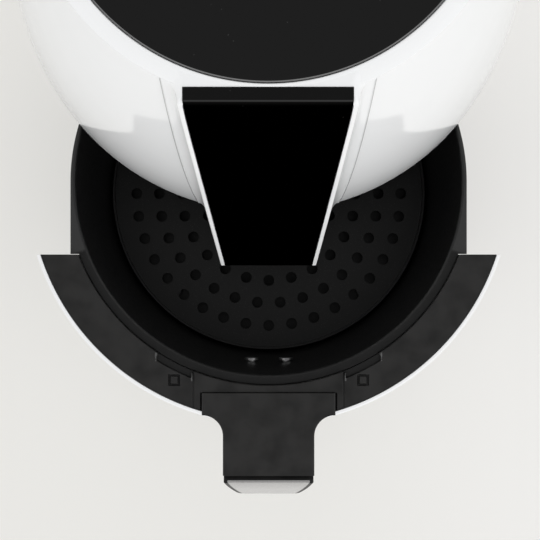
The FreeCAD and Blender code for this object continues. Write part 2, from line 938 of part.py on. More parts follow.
def make_mouth_frame():
    """Two upright strips that close the gaps between the liner and the housing beside the mouth."""
    inset = d.shell_wall + d.free_gap
    high = deck_height - d.fit_gap
    body = turned(
        "mouth_frame",
        (0, liner_floor),
        (radius_below(liner_floor, inset), liner_floor),
        (d.belly_radius - inset, d.belly_height, lower_arc - inset, LEFT),
        (radius_above(high, inset), high, upper_arc - inset, LEFT),
        (0, high),
    )
    cut_in_front(body, liner_front)
    cut_behind(body, liner_front - d.frame_thick)
    half = bay_half + d.liner_wall + d.fit_gap
    middle = draw_box(sketch_on(body, "XY"), -half, -across, half, across)
    pocket(body, middle, along=True)
    return keep(body)


def make_chamber_deck():
    body = new_body("chamber_deck")
    sketch = sketch_on(body, "XY", deck_height)
    rim = radius_above(deck_height + d.deck_thick, d.shell_wall) - d.free_gap
    draw_circle(draw_circle(sketch, 0, 0, rim), 0, 0, deck_hole)
    pad(body, sketch, d.deck_thick)
    return keep(body)


# Heating chamber


def make_guard_grille():
    """A flat guard of ring-shaped slots between spokes."""
    body = new_body("guard_grille")
    disc = draw_circle(sketch_on(body, "XY", deck_top), 0, 0, deck_hole + d.grille_lap)
    pad(body, disc, d.grille_thick)
    ring_step = d.grille_slot + d.grille_rib
    outer = deck_hole - d.grille_rib
    half = math.radians(FULL_TURN / GRILLE_SPOKES / 2)
    slots = sketch_on(body, "XY", deck_top)
    for ring in range(GRILLE_RINGS):
        far = outer - ring * ring_step
        near = far - d.grille_slot
        ends = []
        for radius in (far, near):
            aside = radius * math.sin(half) - d.grille_rib / 2
            ends.append((aside, root(square(radius) - square(aside))))
        (far_x, far_y), (near_x, near_y) = ends
        draw(
            slots,
            (far_x, far_y),
            (-far_x, far_y, far, LEFT),
            (-near_x, near_y),
            (near_x, near_y, near, RIGHT),
        )
    polar(body, [pocket(body, slots, along=True)], GRILLE_SPOKES)
    return keep(body)


def make_reflector():
    """The bright pot over the drawer that holds the heater, the fan and the hot air."""
    inner = reflector_radius - d.reflector_wall
    body = turned(
        "reflector",
        (inner, deck_top),
        (reflector_flange, deck_top),
        (reflector_flange, deck_top + d.reflector_wall),
        (reflector_radius, deck_top + d.reflector_wall),
        (reflector_radius, reflector_top),
        (d.reflector_eye, reflector_top),
        (d.reflector_eye, reflector_roof),
        (inner, reflector_roof),
    )
    window = sketch_on(body, "XZ")
    half, low, high = duct_bore()
    pocket(body, draw_box(window, -half, low, half, high))
    ends = sketch_on(body, "XY", reflector_top)
    wide = d.terminal_half + d.fit_gap
    for x, y in heater_ends():
        draw_box(ends, x - wide, y - wide, x + wide, y + wide)
    draw_circle(ends, 0, -probe_place, d.probe_radius + d.fit_gap)
    pocket(body, ends, 2 * d.reflector_wall)
    return keep(body)


def heater_ends():
    """The middles of the two terminals, where the heater's straight ends stop."""
    away = d.heater_run + d.terminal_half
    return (heater_outer, -away), (heater_inner, -away)


def around(radius, degrees):
    """A point on a circle about the axis."""
    angle = math.radians(degrees)
    return FreeCAD.Vector(radius * math.cos(angle), radius * math.sin(angle), 0)


def arcs_around(radius, stops):
    """Arcs about the axis from each angle to the next."""
    return [
        Part.Arc(around(radius, a), around(radius, (a + b) / 2), around(radius, b)).toShape()
        for a, b in zip(stops, stops[1:])
    ]


def make_heating_element():
    """A flat hairpin of tube: nearly a full turn out, a half turn back and the same way home inside."""
    outer, inner, tube = heater_outer.value, heater_inner.value, d.heater_tube.value
    last = FULL_TURN - d.heater_gap_angle.value
    stops = [0, FULL_TURN / 4, FULL_TURN / 2, FULL_TURN * 3 / 4, last]
    away = around(outer, last) - around(inner, last)
    ahead = FreeCAD.Vector(-away.y, away.x, 0) / 2
    bend = Part.Arc(around(outer, last), around((outer + inner) / 2, last) + ahead, around(inner, last))
    run = FreeCAD.Vector(0, d.heater_run.value, 0)
    way_out = arcs_around(outer, stops)
    way_home = arcs_around(inner, stops[::-1])
    leads = [
        Part.LineSegment(around(outer, 0) - run, around(outer, 0)).toShape(),
        Part.LineSegment(around(inner, 0), around(inner, 0) - run).toShape(),
    ]
    path = Part.Wire([leads[0], *way_out, bend.toShape(), *way_home, leads[1]])
    section = Part.Wire(Part.makeCircle(tube, around(outer, 0) - run, FreeCAD.Vector(0, 1, 0)))
    element = doc.addObject("Part::Feature", "heating_element")
    element.Label = "heating_element"
    element.Shape = path.makePipeShell([section], True, False)
    bind(element, "Placement.Base.z", heater_height)
    near, far = ([p for edge in way for p in edge.discretize(ARC_SAMPLES)] for way in (way_home, way_out))
    gap = min(p.distanceToPoint(q) for p in near for q in far) - 2 * tube
    print(f"heating element: least gap to itself {gap:.2f} mm")
    return keep(element)


def make_heater_terminals():
    """Two ceramic blocks that carry the heater's ends up through the reflector."""
    blocks = []
    half = d.terminal_half
    low = heater_height - half
    for x, y in heater_ends():
        made = doc.addObject("Part::Box", "Box")
        bind(made, "Length", 2 * half)
        bind(made, "Width", 2 * half)
        bind(made, "Height", reflector_top + d.terminal_above - low)
        bind(made, "Placement.Base.x", x - half)
        bind(made, "Placement.Base.y", y - half)
        bind(made, "Placement.Base.z", low)
        blocks.append(made)
    return keep(group("heater_terminals", blocks))


def make_heater_hangers():
    """Pins that hold the heater's outer turn under the reflector's roof."""
    hangers = []
    low = heater_height + d.heater_tube + d.free_gap
    for degrees in HANGER_ANGLES:
        x = heater_outer * math.cos(math.radians(degrees))
        y = heater_outer * math.sin(math.radians(degrees))
        hangers.append(rod(x, y, low, d.hanger_radius, reflector_roof - low))
    return keep(group("heater_hangers", hangers))


def make_temp_probe():
    """A thin probe that hangs through the reflector's roof into the hot air."""
    tall = d.probe_drop + d.probe_above
    probe = rod(0, -probe_place, reflector_top - d.probe_drop, d.probe_radius, tall)
    return keep(group("temp_probe", [probe]))


def make_thermal_cutout():
    x = d.cutout_inset - reflector_radius
    cutout = rod(x, 0, reflector_top, d.cutout_radius, d.cutout_tall)
    return keep(group("thermal_cutout", [cutout]))


# Motor and fans


def make_motor_shaft():
    shaft = rod(0, 0, shaft_bottom, d.shaft_radius, shaft_top - shaft_bottom)
    return keep(group("motor_shaft", [shaft]))


def fan_hub(label, bottom, tall, plate_low, plate_radius):
    """A hub with a round plate, bored for the shaft."""
    body = new_body(label)
    discs = (bottom, tall, d.hub_radius), (plate_low, d.impeller_sheet, plate_radius)
    for low, thick, radius in discs:
        sketch = draw_circle(sketch_on(body, "XY", low), 0, 0, radius)
        pad(body, draw_circle(sketch, 0, 0, d.shaft_radius + d.shaft_gap), thick)
    return body


def add_blades(body, bottom, tall, near, far, lean, count):
    """Upright blades, set beside the radius so that they lean into the turn."""
    blade = sketch_on(body, "XY", bottom)
    draw_box(blade, near, lean, far, lean + d.impeller_sheet)
    polar(body, [pad(body, blade, tall)], count)


def make_hot_air_fan():
    roof = impeller_bottom + d.impeller_tall - d.impeller_sheet
    body = fan_hub("hot_air_fan", impeller_bottom, d.impeller_tall, roof, impeller_radius)
    doc.recompute()
    far = impeller_radius - d.blade_margin
    lean = d.blade_lean
    add_blades(body, impeller_bottom, d.impeller_tall, d.blade_inner, far, lean, IMPELLER_BLADES)
    return keep(body)


def make_cooling_fan():
    body = fan_hub("cooling_fan", cooler_bottom, d.cooler_tall, cooler_bottom, d.cooler_radius)
    doc.recompute()
    far = d.cooler_radius - d.cooler_blade_margin
    lean = d.cooler_blade_lean
    add_blades(body, cooler_bottom, d.cooler_tall, d.cooler_blade_inner, far, lean, COOLER_BLADES)
    return keep(body)


def make_fan_nut():
    """The nut that clamps the hot-air fan on the end of the shaft."""
    body = new_body("fan_nut")
    half = d.nut_half
    sketch = sketch_on(body, "XY", impeller_bottom - d.nut_tall)
    corners = []
    for corner in range(NUT_SIDES):
        angle = math.radians(FULL_TURN / NUT_SIDES * corner + NUT_TURN)
        corners.append((half * math.cos(angle), half * math.sin(angle)))
    draw(sketch, *corners)
    draw_circle(sketch, 0, 0, d.shaft_radius + d.shaft_gap)
    pad(body, sketch, d.nut_tall)
    return keep(body)


def bridge_corners():
    return [
        (sign_x * (d.bridge_half_x - d.leg_inset), sign_y * (d.bridge_half_y - d.leg_inset))
        for sign_x, sign_y in QUARTERS
    ]


def make_motor_bracket():
    """A bridge on four legs over the cooling fan."""
    body = new_body("motor_bracket")
    deck = sketch_on(body, "XY", bridge_height)
    draw_box(deck, -d.bridge_half_x, -d.bridge_half_y, d.bridge_half_x, d.bridge_half_y)
    draw_circle(deck, 0, 0, d.bridge_eye)
    for sign in SIDES:
        draw_circle(deck, sign * d.motor_screw_place, 0, d.screw_radius + d.fit_gap)
    pad(body, deck, d.bridge_thick)
    legs = sketch_on(body, "XY", reflector_top)
    for x, y in bridge_corners():
        draw_circle(legs, x, y, d.leg_radius)
    pad(body, legs, bridge_height - reflector_top)
    return keep(body)


def make_motor():
    bore = d.shaft_radius + d.shaft_gap
    body = turned(
        "motor",
        (bore, bridge_height),
        (d.motor_boss_radius, bridge_height),
        (d.motor_boss_radius, motor_low),
        (d.motor_radius, motor_low),
        (d.motor_radius, motor_high),
        (d.motor_boss_radius, motor_high),
        (d.motor_boss_radius, motor_high + d.motor_boss_tall),
        (bore, motor_high + d.motor_boss_tall),
    )
    holes = sketch_on(body, "XY", motor_low)
    for sign in SIDES:
        draw_circle(holes, sign * d.motor_screw_place, 0, d.screw_radius + d.shaft_gap)
    pocket(body, holes, d.motor_screw_bite, along=True)
    return keep(body)


def make_motor_screws():
    screws = []
    for sign in SIDES:
        x = sign * d.motor_screw_place
        head = rod(x, 0, bridge_height - d.screw_head_tall, d.screw_head_radius, d.screw_head_tall)
        tall = d.screw_head_tall + d.bridge_thick + d.motor_screw_bite
        shank = rod(x, 0, bridge_height - d.screw_head_tall, d.screw_radius, tall)
        screws.append(joined(head, shank))
    return keep(group("motor_screws", screws))


# Electronics


def make_power_board():
    low = reflector_top + d.power_lift
    high = low + d.power_thick
    body = block("power_board", (-d.power_x, d.power_near, low), (d.power_x, d.power_far, high))
    middle = (d.power_near + d.power_far) / 2
    parts = sketch_on(body, "XY", high)
    draw_box(parts, -d.power_x / 2, middle, 0, d.power_far - d.part_inset)
    draw_circle(parts, d.power_x / 2, middle, d.part_radius)
    pad(body, parts, d.part_tall)
    return keep(body)


def make_board_posts():
    inset = 2 * d.power_post_radius
    posts = [
        rod(sign * (d.power_x - inset), y, reflector_top, d.power_post_radius, d.power_lift)
        for sign in SIDES
        for y in (d.power_near + inset, d.power_far - inset)
    ]
    return keep(group("board_posts", posts))


def make_drawer_switch():
    """The switch behind the bay that feels whether the drawer is shut, bored for its plunger."""
    low = (-d.switch_half, switch_near, switch_low)
    high = (d.switch_half, switch_near + d.switch_deep, switch_low + d.switch_tall)
    body = block("drawer_switch", low, high)
    bore = draw_circle(sketch_on(body, "XZ"), 0, plunger_height, d.plunger_radius + d.shaft_gap)
    deep = plunger_tip + plunger_long + d.plunger_travel + d.free_gap
    pocket(body, bore, deep)
    return keep(body)


def make_switch_plunger():
    body = new_body("switch_plunger")
    sketch = sketch_on(body, "XZ", -plunger_tip)
    pad(body, draw_circle(sketch, 0, plunger_height, d.plunger_radius), plunger_long, inward=True)
    return keep(body)


def make_terminal_block():
    right = d.terminal_x + d.terminal_wide
    rim = foot_radius - d.shell_wall - d.terminal_clear
    far = root(square(rim) - square(right))
    low = (d.terminal_x, far - d.terminal_deep, d.shell_bottom)
    high = (right, far, d.shell_bottom + d.terminal_tall)
    return keep(block("terminal_block", low, high))


# Back of the housing


def duct_bore():
    """Half width, bottom and top of the way that the used air takes out."""
    inset = d.vent_frame + d.duct_wall
    return d.vent_half - inset, vent_low + inset, vent_low + d.vent_tall - inset


def make_exhaust_duct():
    """A square tube from the reflector's back to the vent, cut round where it meets the reflector."""
    half, low, high = duct_bore()
    wall = d.duct_wall
    body = new_body("exhaust_duct")
    back = vent_reach - d.vent_face
    sketch = sketch_on(body, "XZ", -back)
    draw_box(sketch, -half - wall, low - wall, half + wall, high + wall)
    draw_box(sketch, -half, low, half, high)
    pad(body, sketch, back - reflector_radius / 2)
    core = draw_circle(sketch_on(body, "XY"), 0, 0, reflector_radius + d.fit_gap)
    pocket(body, core, along=True)
    return keep(body)


def make_rear_vent():
    """The black frame over the air outlet, with a row of slots across its face."""
    body = new_body("rear_vent")
    high = vent_low + d.vent_tall
    box = sketch_on(body, "XZ", -vent_reach)
    draw_box(box, -d.vent_half, vent_low, d.vent_half, high)
    pad(body, box, vent_reach - reflector_radius)
    cut_envelope(body, -d.fit_gap)
    inset = d.vent_frame - d.fit_gap
    hollow = sketch_on(body, "XZ")
    draw_box(hollow, inset - d.vent_half, vent_low + inset, d.vent_half - inset, high - inset)
    pocket(body, hollow, vent_reach - d.vent_face)
    slots = sketch_on(body, "XZ", -vent_reach)
    step = d.vent_slot + d.vent_bar
    first = vent_low + d.vent_tall / 2 - (VENT_SLOTS * step - d.vent_bar) / 2
    half = duct_bore()[0] - d.vent_bar
    for slot in range(VENT_SLOTS):
        low = first + slot * step
        draw_box(slots, -half, low, half, low + d.vent_slot)
    pocket(body, slots, along=True)
    return keep(body)


def make_cord_gland():
    """The bush where a mains lead enters, with its bore along Y and a collar that fits the housing."""
    body = new_body("cord_gland")
    skin = radius_below(d.gland_height)
    collar = sketch_on(body, "XZ", -(skin + d.gland_collar_stand))
    draw_circle(collar, 0, d.gland_height, d.gland_collar)
    pad(body, collar, d.gland_within)
    cut_envelope(body, -d.fit_gap)
    tube = sketch_on(body, "XZ", d.gland_within - skin)
    draw_circle(tube, 0, d.gland_height, d.gland_radius)
    pad(body, tube, d.gland_within + d.gland_stand, inward=True)
    pocket(body, draw_circle(sketch_on(body, "XZ"), 0, d.gland_height, d.gland_bore))
    return keep(body)


# Drawer


def make_pan():
    """The deep round pan with a flange that runs straight at the sides, where it slides."""
    wall, corner = d.pan_wall, d.pan_corner
    floor, side = pan_floor, pan_floor_radius
    body = turned(
        "pan",
        (0, floor - wall),
        (side - corner, floor - wall),
        (side + wall, floor + corner, corner + wall, LEFT),
        (pan_top_radius + wall, flange_top),
        (pan_top_radius, flange_top),
        (side, floor + corner),
        (side - corner, floor, corner, RIGHT),
        (0, floor),
    )
    flange = sketch_on(body, "XY", flange_top - wall)
    half = flange_half
    step = drawer_end - d.free_gap
    nose = trim_inner - d.free_gap
    nose_x = root(square(nose) - square(step))
    draw(
        flange,
        (-half, 0, half, LEFT),
        (-half, -step),
        (-nose_x, -step),
        (0, -nose, nose, LEFT),
        (nose_x, -step, nose, LEFT),
        (half, -step),
        (half, 0),
        (0, half, half, LEFT),
    )
    draw_circle(flange, 0, 0, pan_top_radius + wall / 2)
    pad(body, flange, wall)
    holes = sketch_on(body, "XZ")
    for sign in SIDES:
        draw_circle(holes, sign * d.bracket_screw_x, rivet_height, d.rivet_radius + d.fit_gap)
    pocket(body, holes, along=True)
    return keep(body, in_drawer=True)


def cut_handle_notch(body):
    """The opening at the top of the drawer front that the handle's root fills."""
    half = d.root_half + d.free_gap
    notch = sketch_on(body, "XY", handle_bottom - d.free_gap)
    draw_box(notch, -half, -across, half, d.free_gap - root_back)
    return pocket(body, notch, along=True)


def make_drawer_trim():
    """The black crescent on the drawer front, with a wall down the pan's front."""
    inner, wall = trim_inner, d.trim_wall
    body = turned(
        "drawer_trim",
        (inner, trim_low),
        (inner + wall, trim_low),
        (inner + wall, trim_top - d.trim_plate),
        (trim_outer, trim_top - d.trim_plate),
        (trim_outer, trim_top),
        (inner, trim_top),
    )
    cut_behind(body, drawer_end)
    cut_handle_notch(body)
    holes = sketch_on(body, "XZ")
    for sign in SIDES:
        draw_circle(holes, sign * d.bracket_screw_x, rivet_height, d.rivet_radius + d.fit_gap)
    pocket(body, holes, along=True)
    return keep(body, in_drawer=True)


def make_drawer_front():
    """The white skin of the drawer front, which carries on the housing's shape."""
    outer = d.front_inset
    inner = front_inner_inset
    low, high = front_low, front_top
    foot = low + d.front_wall
    body = turned(
        "drawer_front",
        (front_return, low),
        (radius_below(low, outer), low),
        (d.belly_radius - outer, d.belly_height, lower_arc - outer, LEFT),
        (radius_above(high, outer), high, upper_arc - outer, LEFT),
        (radius_above(high, inner), high),
        (d.belly_radius - inner, d.belly_height, upper_arc - inner, RIGHT),
        (radius_below(foot, inner), foot, lower_arc - inner, RIGHT),
        (front_return, foot),
    )
    cut_behind(body, drawer_end)
    cut_handle_notch(body)
    return keep(body, in_drawer=True)


def make_drawer_end_caps():
    """The two black walls that close the ends of the drawer front."""
    inset = front_inner_inset + d.fit_gap
    near = bracket_near
    high = trim_top - d.trim_plate - d.shaft_gap
    body = turned(
        "drawer_end_caps",
        (near, cap_low),
        (radius_below(cap_low, inset), cap_low),
        (d.belly_radius - inset, d.belly_height, lower_arc - inset, LEFT),
        (radius_above(high, inset), high, upper_arc - inset, LEFT),
        (near, high),
    )
    cut_behind(body, drawer_end)
    cut_in_front(body, drawer_end + d.cap_wall)
    return keep(body, in_drawer=True)


# Handle


def draw_grip(sketch, border, top):
    """A shield-shaped outline on the slope: bowed sides that meet a small round tip."""
    side = d.grip_side_radius - border
    centre = d.grip_side_radius - d.stem_half
    drop = d.grip_drop
    tip = (square(d.grip_side_radius) - square(centre) - square(drop)) / (2 * (d.grip_side_radius - drop))
    reach = d.grip_side_radius - tip
    touch_x = side * centre / reach - centre
    touch_y = -grip_top - side * (drop - tip) / reach
    top_x = root(square(side) - square(top + grip_top)) - centre
    return draw(
        sketch,
        (-top_x, top),
        (-touch_x, touch_y, side, LEFT),
        (touch_x, touch_y, tip - border, LEFT),
        (top_x, top, side, LEFT),
    )


def make_handle_core():
    """The black handle: a flat stem on a wide root, and a sloping shield at its end."""
    body = new_body("handle_core")
    curve = d.root_half - d.stem_half
    end = tongue_reach - d.slab_thick / 2
    stem = sketch_on(body, "XY", handle_bottom)
    draw(
        stem,
        (-d.root_half, -root_back),
        (-d.root_half, -root_front),
        (-d.stem_half, -root_front - curve, curve, RIGHT),
        (-d.stem_half, -end),
        (d.stem_half, -end),
        (d.stem_half, -root_front - curve),
        (d.root_half, -root_front, curve, RIGHT),
        (d.root_half, -root_back),
    )
    pad(body, stem, handle_top - handle_bottom)
    pad(body, draw_grip(sketch_on_slope(body), 0, d.slab_thick), d.slab_thick, inward=True)
    above = sketch_on(body, "XY", handle_top)
    draw_box(above, -across, -across, across, across)
    pocket(body, above, along=True)
    bed = draw_grip(sketch_on_slope(body), d.cover_border, -grip_top - d.cover_border / 2)
    pocket(body, bed, d.cover_thick + d.fit_gap)
    hollow = sketch_on(body, "XY", handle_bottom)
    half = d.stem_half - d.stem_wall
    front = tongue_reach - d.slab_thick - d.stem_wall
    draw_box(hollow, -half, -front, half, -root_front - curve)
    pocket(body, hollow, handle_top - handle_bottom - d.stem_roof, along=True)
    pilots = sketch_on(body, "XY", handle_bottom)
    for sign in SIDES:
        x = sign * d.bracket_screw_x
        draw_circle(pilots, x, -bracket_screw_y, d.bracket_screw_radius + d.shaft_gap)
    pocket(body, pilots, bracket_screw_tip + d.free_gap - handle_bottom, along=True)
    return keep(body, in_drawer=True)


def make_handle_cover():
    """The white shield on the handle's front."""
    body = new_body("handle_cover")
    border = d.cover_border + d.fit_gap
    sketch = draw_grip(sketch_on_slope(body), border, -grip_top - d.cover_border / 2 - d.fit_gap)
    pad(body, sketch, d.cover_thick, inward=True)
    return keep(body, in_drawer=True)


def make_handle_underside():
    """The plate that closes the hollow under the stem."""
    curve = d.root_half - d.stem_half
    half = d.stem_half - d.stem_wall - d.fit_gap
    front = tongue_reach - d.slab_thick - d.stem_wall - d.fit_gap
    low = (-half, -front, handle_bottom)
    high = (half, -root_front - curve - d.fit_gap, handle_bottom + d.under_thick)
    return keep(block("handle_underside", low, high), in_drawer=True)


def make_handle_bracket():
    """A steel angle between the pan and the handle's root."""
    body = new_body("handle_bracket")
    upright = sketch_on(body, "XY", bracket_low)
    draw_box(upright, -d.bracket_half, -bracket_near - d.bracket_thick, d.bracket_half, -bracket_near)
    pad(body, upright, bracket_top - bracket_low)
    leg = sketch_on(body, "XY", bracket_top - d.bracket_thick)
    draw_box(leg, -d.bracket_half, -bracket_leg, d.bracket_half, -bracket_near)
    pad(body, leg, d.bracket_thick)
    screws = sketch_on(body, "XY", bracket_top)
    rivets = sketch_on(body, "XZ")
    for sign in SIDES:
        x = sign * d.bracket_screw_x
        draw_circle(screws, x, -bracket_screw_y, d.bracket_screw_radius + d.fit_gap)
        draw_circle(rivets, x, rivet_height, d.rivet_radius + d.fit_gap)
    pocket(body, screws, 2 * d.bracket_thick)
    pocket(body, rivets, along=True)
    return keep(body, in_drawer=True)


def make_handle_screws():
    screws = []
    seat = bracket_top - d.bracket_thick
    for sign in SIDES:
        x = sign * d.bracket_screw_x
        head = rod(x, -bracket_screw_y, seat - d.screw_head_tall, d.screw_head_radius, d.screw_head_tall)
        shank = rod(x, -bracket_screw_y, seat, d.bracket_screw_radius, bracket_screw_tip - seat)
        screws.append(joined(head, shank))
    return keep(group("handle_screws", screws), in_drawer=True)


def make_pan_rivets():
    """Two rivets through the pan, the trim's wall and the bracket, with a flat head inside the pan."""
    body = new_body("pan_rivets")
    far = bracket_near + d.bracket_thick + d.rivet_head_thick
    up = (rivet_height - pan_floor - d.pan_corner) / (flange_top - pan_floor - d.pan_corner)
    pan_inner = pan_floor_radius + d.pan_draft * up
    edge = d.bracket_screw_x + d.rivet_head_radius
    near = root(square(pan_inner) - square(edge)) - d.fit_gap
    heads = sketch_on(body, "XZ", near)
    shanks = sketch_on(body, "XZ", near)
    for sign in SIDES:
        x = sign * d.bracket_screw_x
        draw_circle(heads, x, rivet_height, d.rivet_head_radius)
        draw_circle(shanks, x, rivet_height, d.rivet_radius)
    pad(body, shanks, far - near)
    pad(body, heads, d.rivet_head_thick, inward=True)
    return keep(body, in_drawer=True)


# Crisper plate


def make_crisper_plate():
    """A perforated plate with an upturned rim, held off the pan's floor."""
    low = crisper_height
    top = low + d.crisper_thick
    body = turned(
        "crisper_plate",
        (0, low),
        (crisper_radius, low),
        (crisper_radius, low + d.crisper_rim),
        (crisper_radius - d.crisper_thick, low + d.crisper_rim),
        (crisper_radius - d.crisper_thick, top),
        (0, top),
    )
    step = (crisper_radius - d.crisper_margin - d.crisper_first_ring) / (CRISPER_RINGS - 1)
    for ring in range(CRISPER_RINGS):
        doc.recompute()
        radius = d.crisper_first_ring + ring * step
        hole = draw_circle(sketch_on(body, "XY", low), radius, 0, d.crisper_hole)
        count = CRISPER_FIRST_HOLES + ring * CRISPER_MORE_HOLES
        polar(body, [pocket(body, hole, along=True)], count)
    return keep(body, in_drawer=True)


def make_crisper_knob():
    """A low knob in the middle, for lifting the plate out."""
    low = crisper_height + d.crisper_thick
    high = low + d.knob_tall
    edge = d.knob_head / 2
    body = turned(
        "crisper_knob",
        (0, low),
        (d.knob_radius, low),
        (d.knob_neck, low + d.knob_tall - 2 * d.knob_head, d.knob_waist, RIGHT),
        (d.knob_neck, high - d.knob_head),
        (d.knob_radius, high - edge, d.knob_head, LEFT),
        (d.knob_radius - edge, high, edge, LEFT),
        (0, high),
    )
    return keep(body, in_drawer=True)


def make_crisper_feet():
    place = bumper_place / math.sqrt(2)
    low = pan_floor + d.free_gap
    feet = [
        rod(sign_x * place, sign_y * place, low, d.bumper_radius, crisper_height - low)
        for sign_x, sign_y in QUARTERS
    ]
    return keep(group("crisper_feet", feet), in_drawer=True)


MAKERS = (
    make_outer_shell,
    make_top_bezel,
    make_top_panel,
    make_front_bezel,
    make_front_panel,
    make_display_board,
    make_base_plate,
    make_rubber_feet,
    make_base_screws,
    make_bay_liner,
    make_side_rails,
    make_floor_runners,
    make_sill_plate,
    make_mouth_frame,
    make_chamber_deck,
    make_guard_grille,
    make_reflector,
    make_heating_element,
    make_heater_terminals,
    make_heater_hangers,
    make_temp_probe,
    make_thermal_cutout,
    make_motor_shaft,
    make_hot_air_fan,
    make_fan_nut,
    make_cooling_fan,
    make_motor_bracket,
    make_motor,
    make_motor_screws,
    make_power_board,
    make_board_posts,
    make_drawer_switch,
    make_switch_plunger,
    make_terminal_block,
    make_exhaust_duct,
    make_rear_vent,
    make_cord_gland,
    make_pan,
    make_drawer_trim,
    make_drawer_front,
    make_drawer_end_caps,
    make_handle_core,
    make_handle_cover,
    make_handle_underside,
    make_handle_bracket,
    make_handle_screws,
    make_pan_rivets,
    make_crisper_plate,
    make_crisper_knob,
    make_crisper_feet,
)


def check():
    """Stops before anything is written if an object failed, a cut cut nothing or a shape is unsound."""
    failed = [o.Label for o in doc.Objects if "Invalid" in o.State or "Error" in o.State]
    failed += [c.Label for c in cuts if c.Shape.Volume > c.BaseFeature.Shape.Volume - LEAST_CUT]
    failed += [p.Label for p in pieces if p.Shape.isNull() or not p.Shape.isValid()]
    if failed:
        raise SystemExit(f"failed: {failed}")


for make in MAKERS:
    make()
doc.recompute()
check()
os.makedirs("parts", exist_ok=True)
for piece in pieces:
    piece.Shape.exportStep(f"parts/{piece.Label}.step")
print(f"{len(pieces)} pieces")
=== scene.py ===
"""The looks of a round hot-air fryer with a pull-out drawer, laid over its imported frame.

Metres, +Z up, front towards -Y. The housing and the drawer each stand round an upright axis.
A shape is worked out as an array of (x, ahead, z), where ahead is the distance in front of
that axis, and is then set in place.
"""

import json
import math

import bmesh
import bpy
import numpy as np
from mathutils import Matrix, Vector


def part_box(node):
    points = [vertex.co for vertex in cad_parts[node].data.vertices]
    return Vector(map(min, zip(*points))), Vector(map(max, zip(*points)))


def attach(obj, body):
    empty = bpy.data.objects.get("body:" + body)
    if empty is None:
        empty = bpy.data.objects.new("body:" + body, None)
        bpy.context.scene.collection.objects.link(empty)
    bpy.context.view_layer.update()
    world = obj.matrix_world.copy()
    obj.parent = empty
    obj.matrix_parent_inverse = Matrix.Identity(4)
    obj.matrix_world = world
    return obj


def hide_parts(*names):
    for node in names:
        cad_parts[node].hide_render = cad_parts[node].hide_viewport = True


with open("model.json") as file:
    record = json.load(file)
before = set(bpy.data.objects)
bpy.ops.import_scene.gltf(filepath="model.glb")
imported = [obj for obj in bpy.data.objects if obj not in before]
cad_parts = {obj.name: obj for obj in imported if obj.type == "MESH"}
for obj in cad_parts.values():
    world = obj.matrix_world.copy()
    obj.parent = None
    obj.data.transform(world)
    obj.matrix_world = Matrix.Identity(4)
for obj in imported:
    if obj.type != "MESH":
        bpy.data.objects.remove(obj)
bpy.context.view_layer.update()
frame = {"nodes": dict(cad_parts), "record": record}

MM = 0.001


def middle_y(node):
    low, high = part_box(node)
    return (low.y + high.y) / 2


def half_width(node):
    low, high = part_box(node)
    return (high.x - low.x) / 2


# Places and sizes that the frame gives
HOUSING_Y = middle_y("base_plate")
DRAWER_Y = middle_y("crisper_plate")
CROWN_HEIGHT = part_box("outer_shell")[1].z
SHELL_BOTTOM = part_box("outer_shell")[0].z
TONGUE_REACH = HOUSING_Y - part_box("front_panel")[0].y
PANEL_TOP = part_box("front_panel")[1].z
PANEL_HEAD_HALF = half_width("front_panel")
STRIP_BACK = HOUSING_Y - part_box("front_panel")[1].y
DISC_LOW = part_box("top_panel")[0].z
DISC_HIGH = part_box("top_panel")[1].z
RING_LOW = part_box("top_bezel")[0].z
TRIM_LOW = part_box("drawer_trim")[0].z
TRIM_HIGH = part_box("drawer_trim")[1].z
FRONT_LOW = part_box("drawer_front")[0].z
FRONT_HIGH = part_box("drawer_front")[1].z
PAN_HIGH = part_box("pan")[1].z
PAN_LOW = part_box("pan")[0].z
HANDLE_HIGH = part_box("handle_core")[1].z
HANDLE_BACK = DRAWER_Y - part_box("handle_core")[1].y
ROOT_HALF = half_width("handle_core")
UNDERSIDE_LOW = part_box("handle_underside")[0].z

# Meshes in general
MERGE_WITHIN = 0.001 * MM
SHARP_ANGLE = math.radians(40)
EDGE_SEGMENTS = 3
BAR_MARGIN = 3
ABOVE_ZERO = 1e-6

# Egg-shaped housing: one arc below the belly and one above it, both upright at the belly
BELLY_RADIUS = 133.0 * MM
BELLY_HEIGHT = 112.0 * MM
CROWN_RADIUS = 97.0 * MM
CROWN_TUCK = BELLY_RADIUS - CROWN_RADIUS
FOOT_TUCK = 17.0 * MM
LIP_HEIGHT = 148.0 * MM
UPPER_ARC = ((CROWN_HEIGHT - BELLY_HEIGHT) ** 2 + CROWN_TUCK**2) / (2 * CROWN_TUCK)
LOWER_ARC = ((BELLY_HEIGHT - SHELL_BOTTOM) ** 2 + FOOT_TUCK**2) / (2 * FOOT_TUCK)

# Crown ring and top glass
ROUND_COLUMNS = 240
GLASS_RADIUS = 89.5 * MM
GLASS_SINK = 0.4 * MM
GLASS_EDGE = 0.5 * MM
EDGE_HIGHLIGHT_FADE = 0.05 * MM
RING_INNER = 89.9 * MM
RING_LEDGE = 84.0 * MM
RING_SPIGOT = 94.1 * MM
RING_PROUD = 0.1 * MM
RING_STEP = 0.4 * MM
RING_EDGE = 0.3 * MM
RING_ROUND = 0.9 * MM

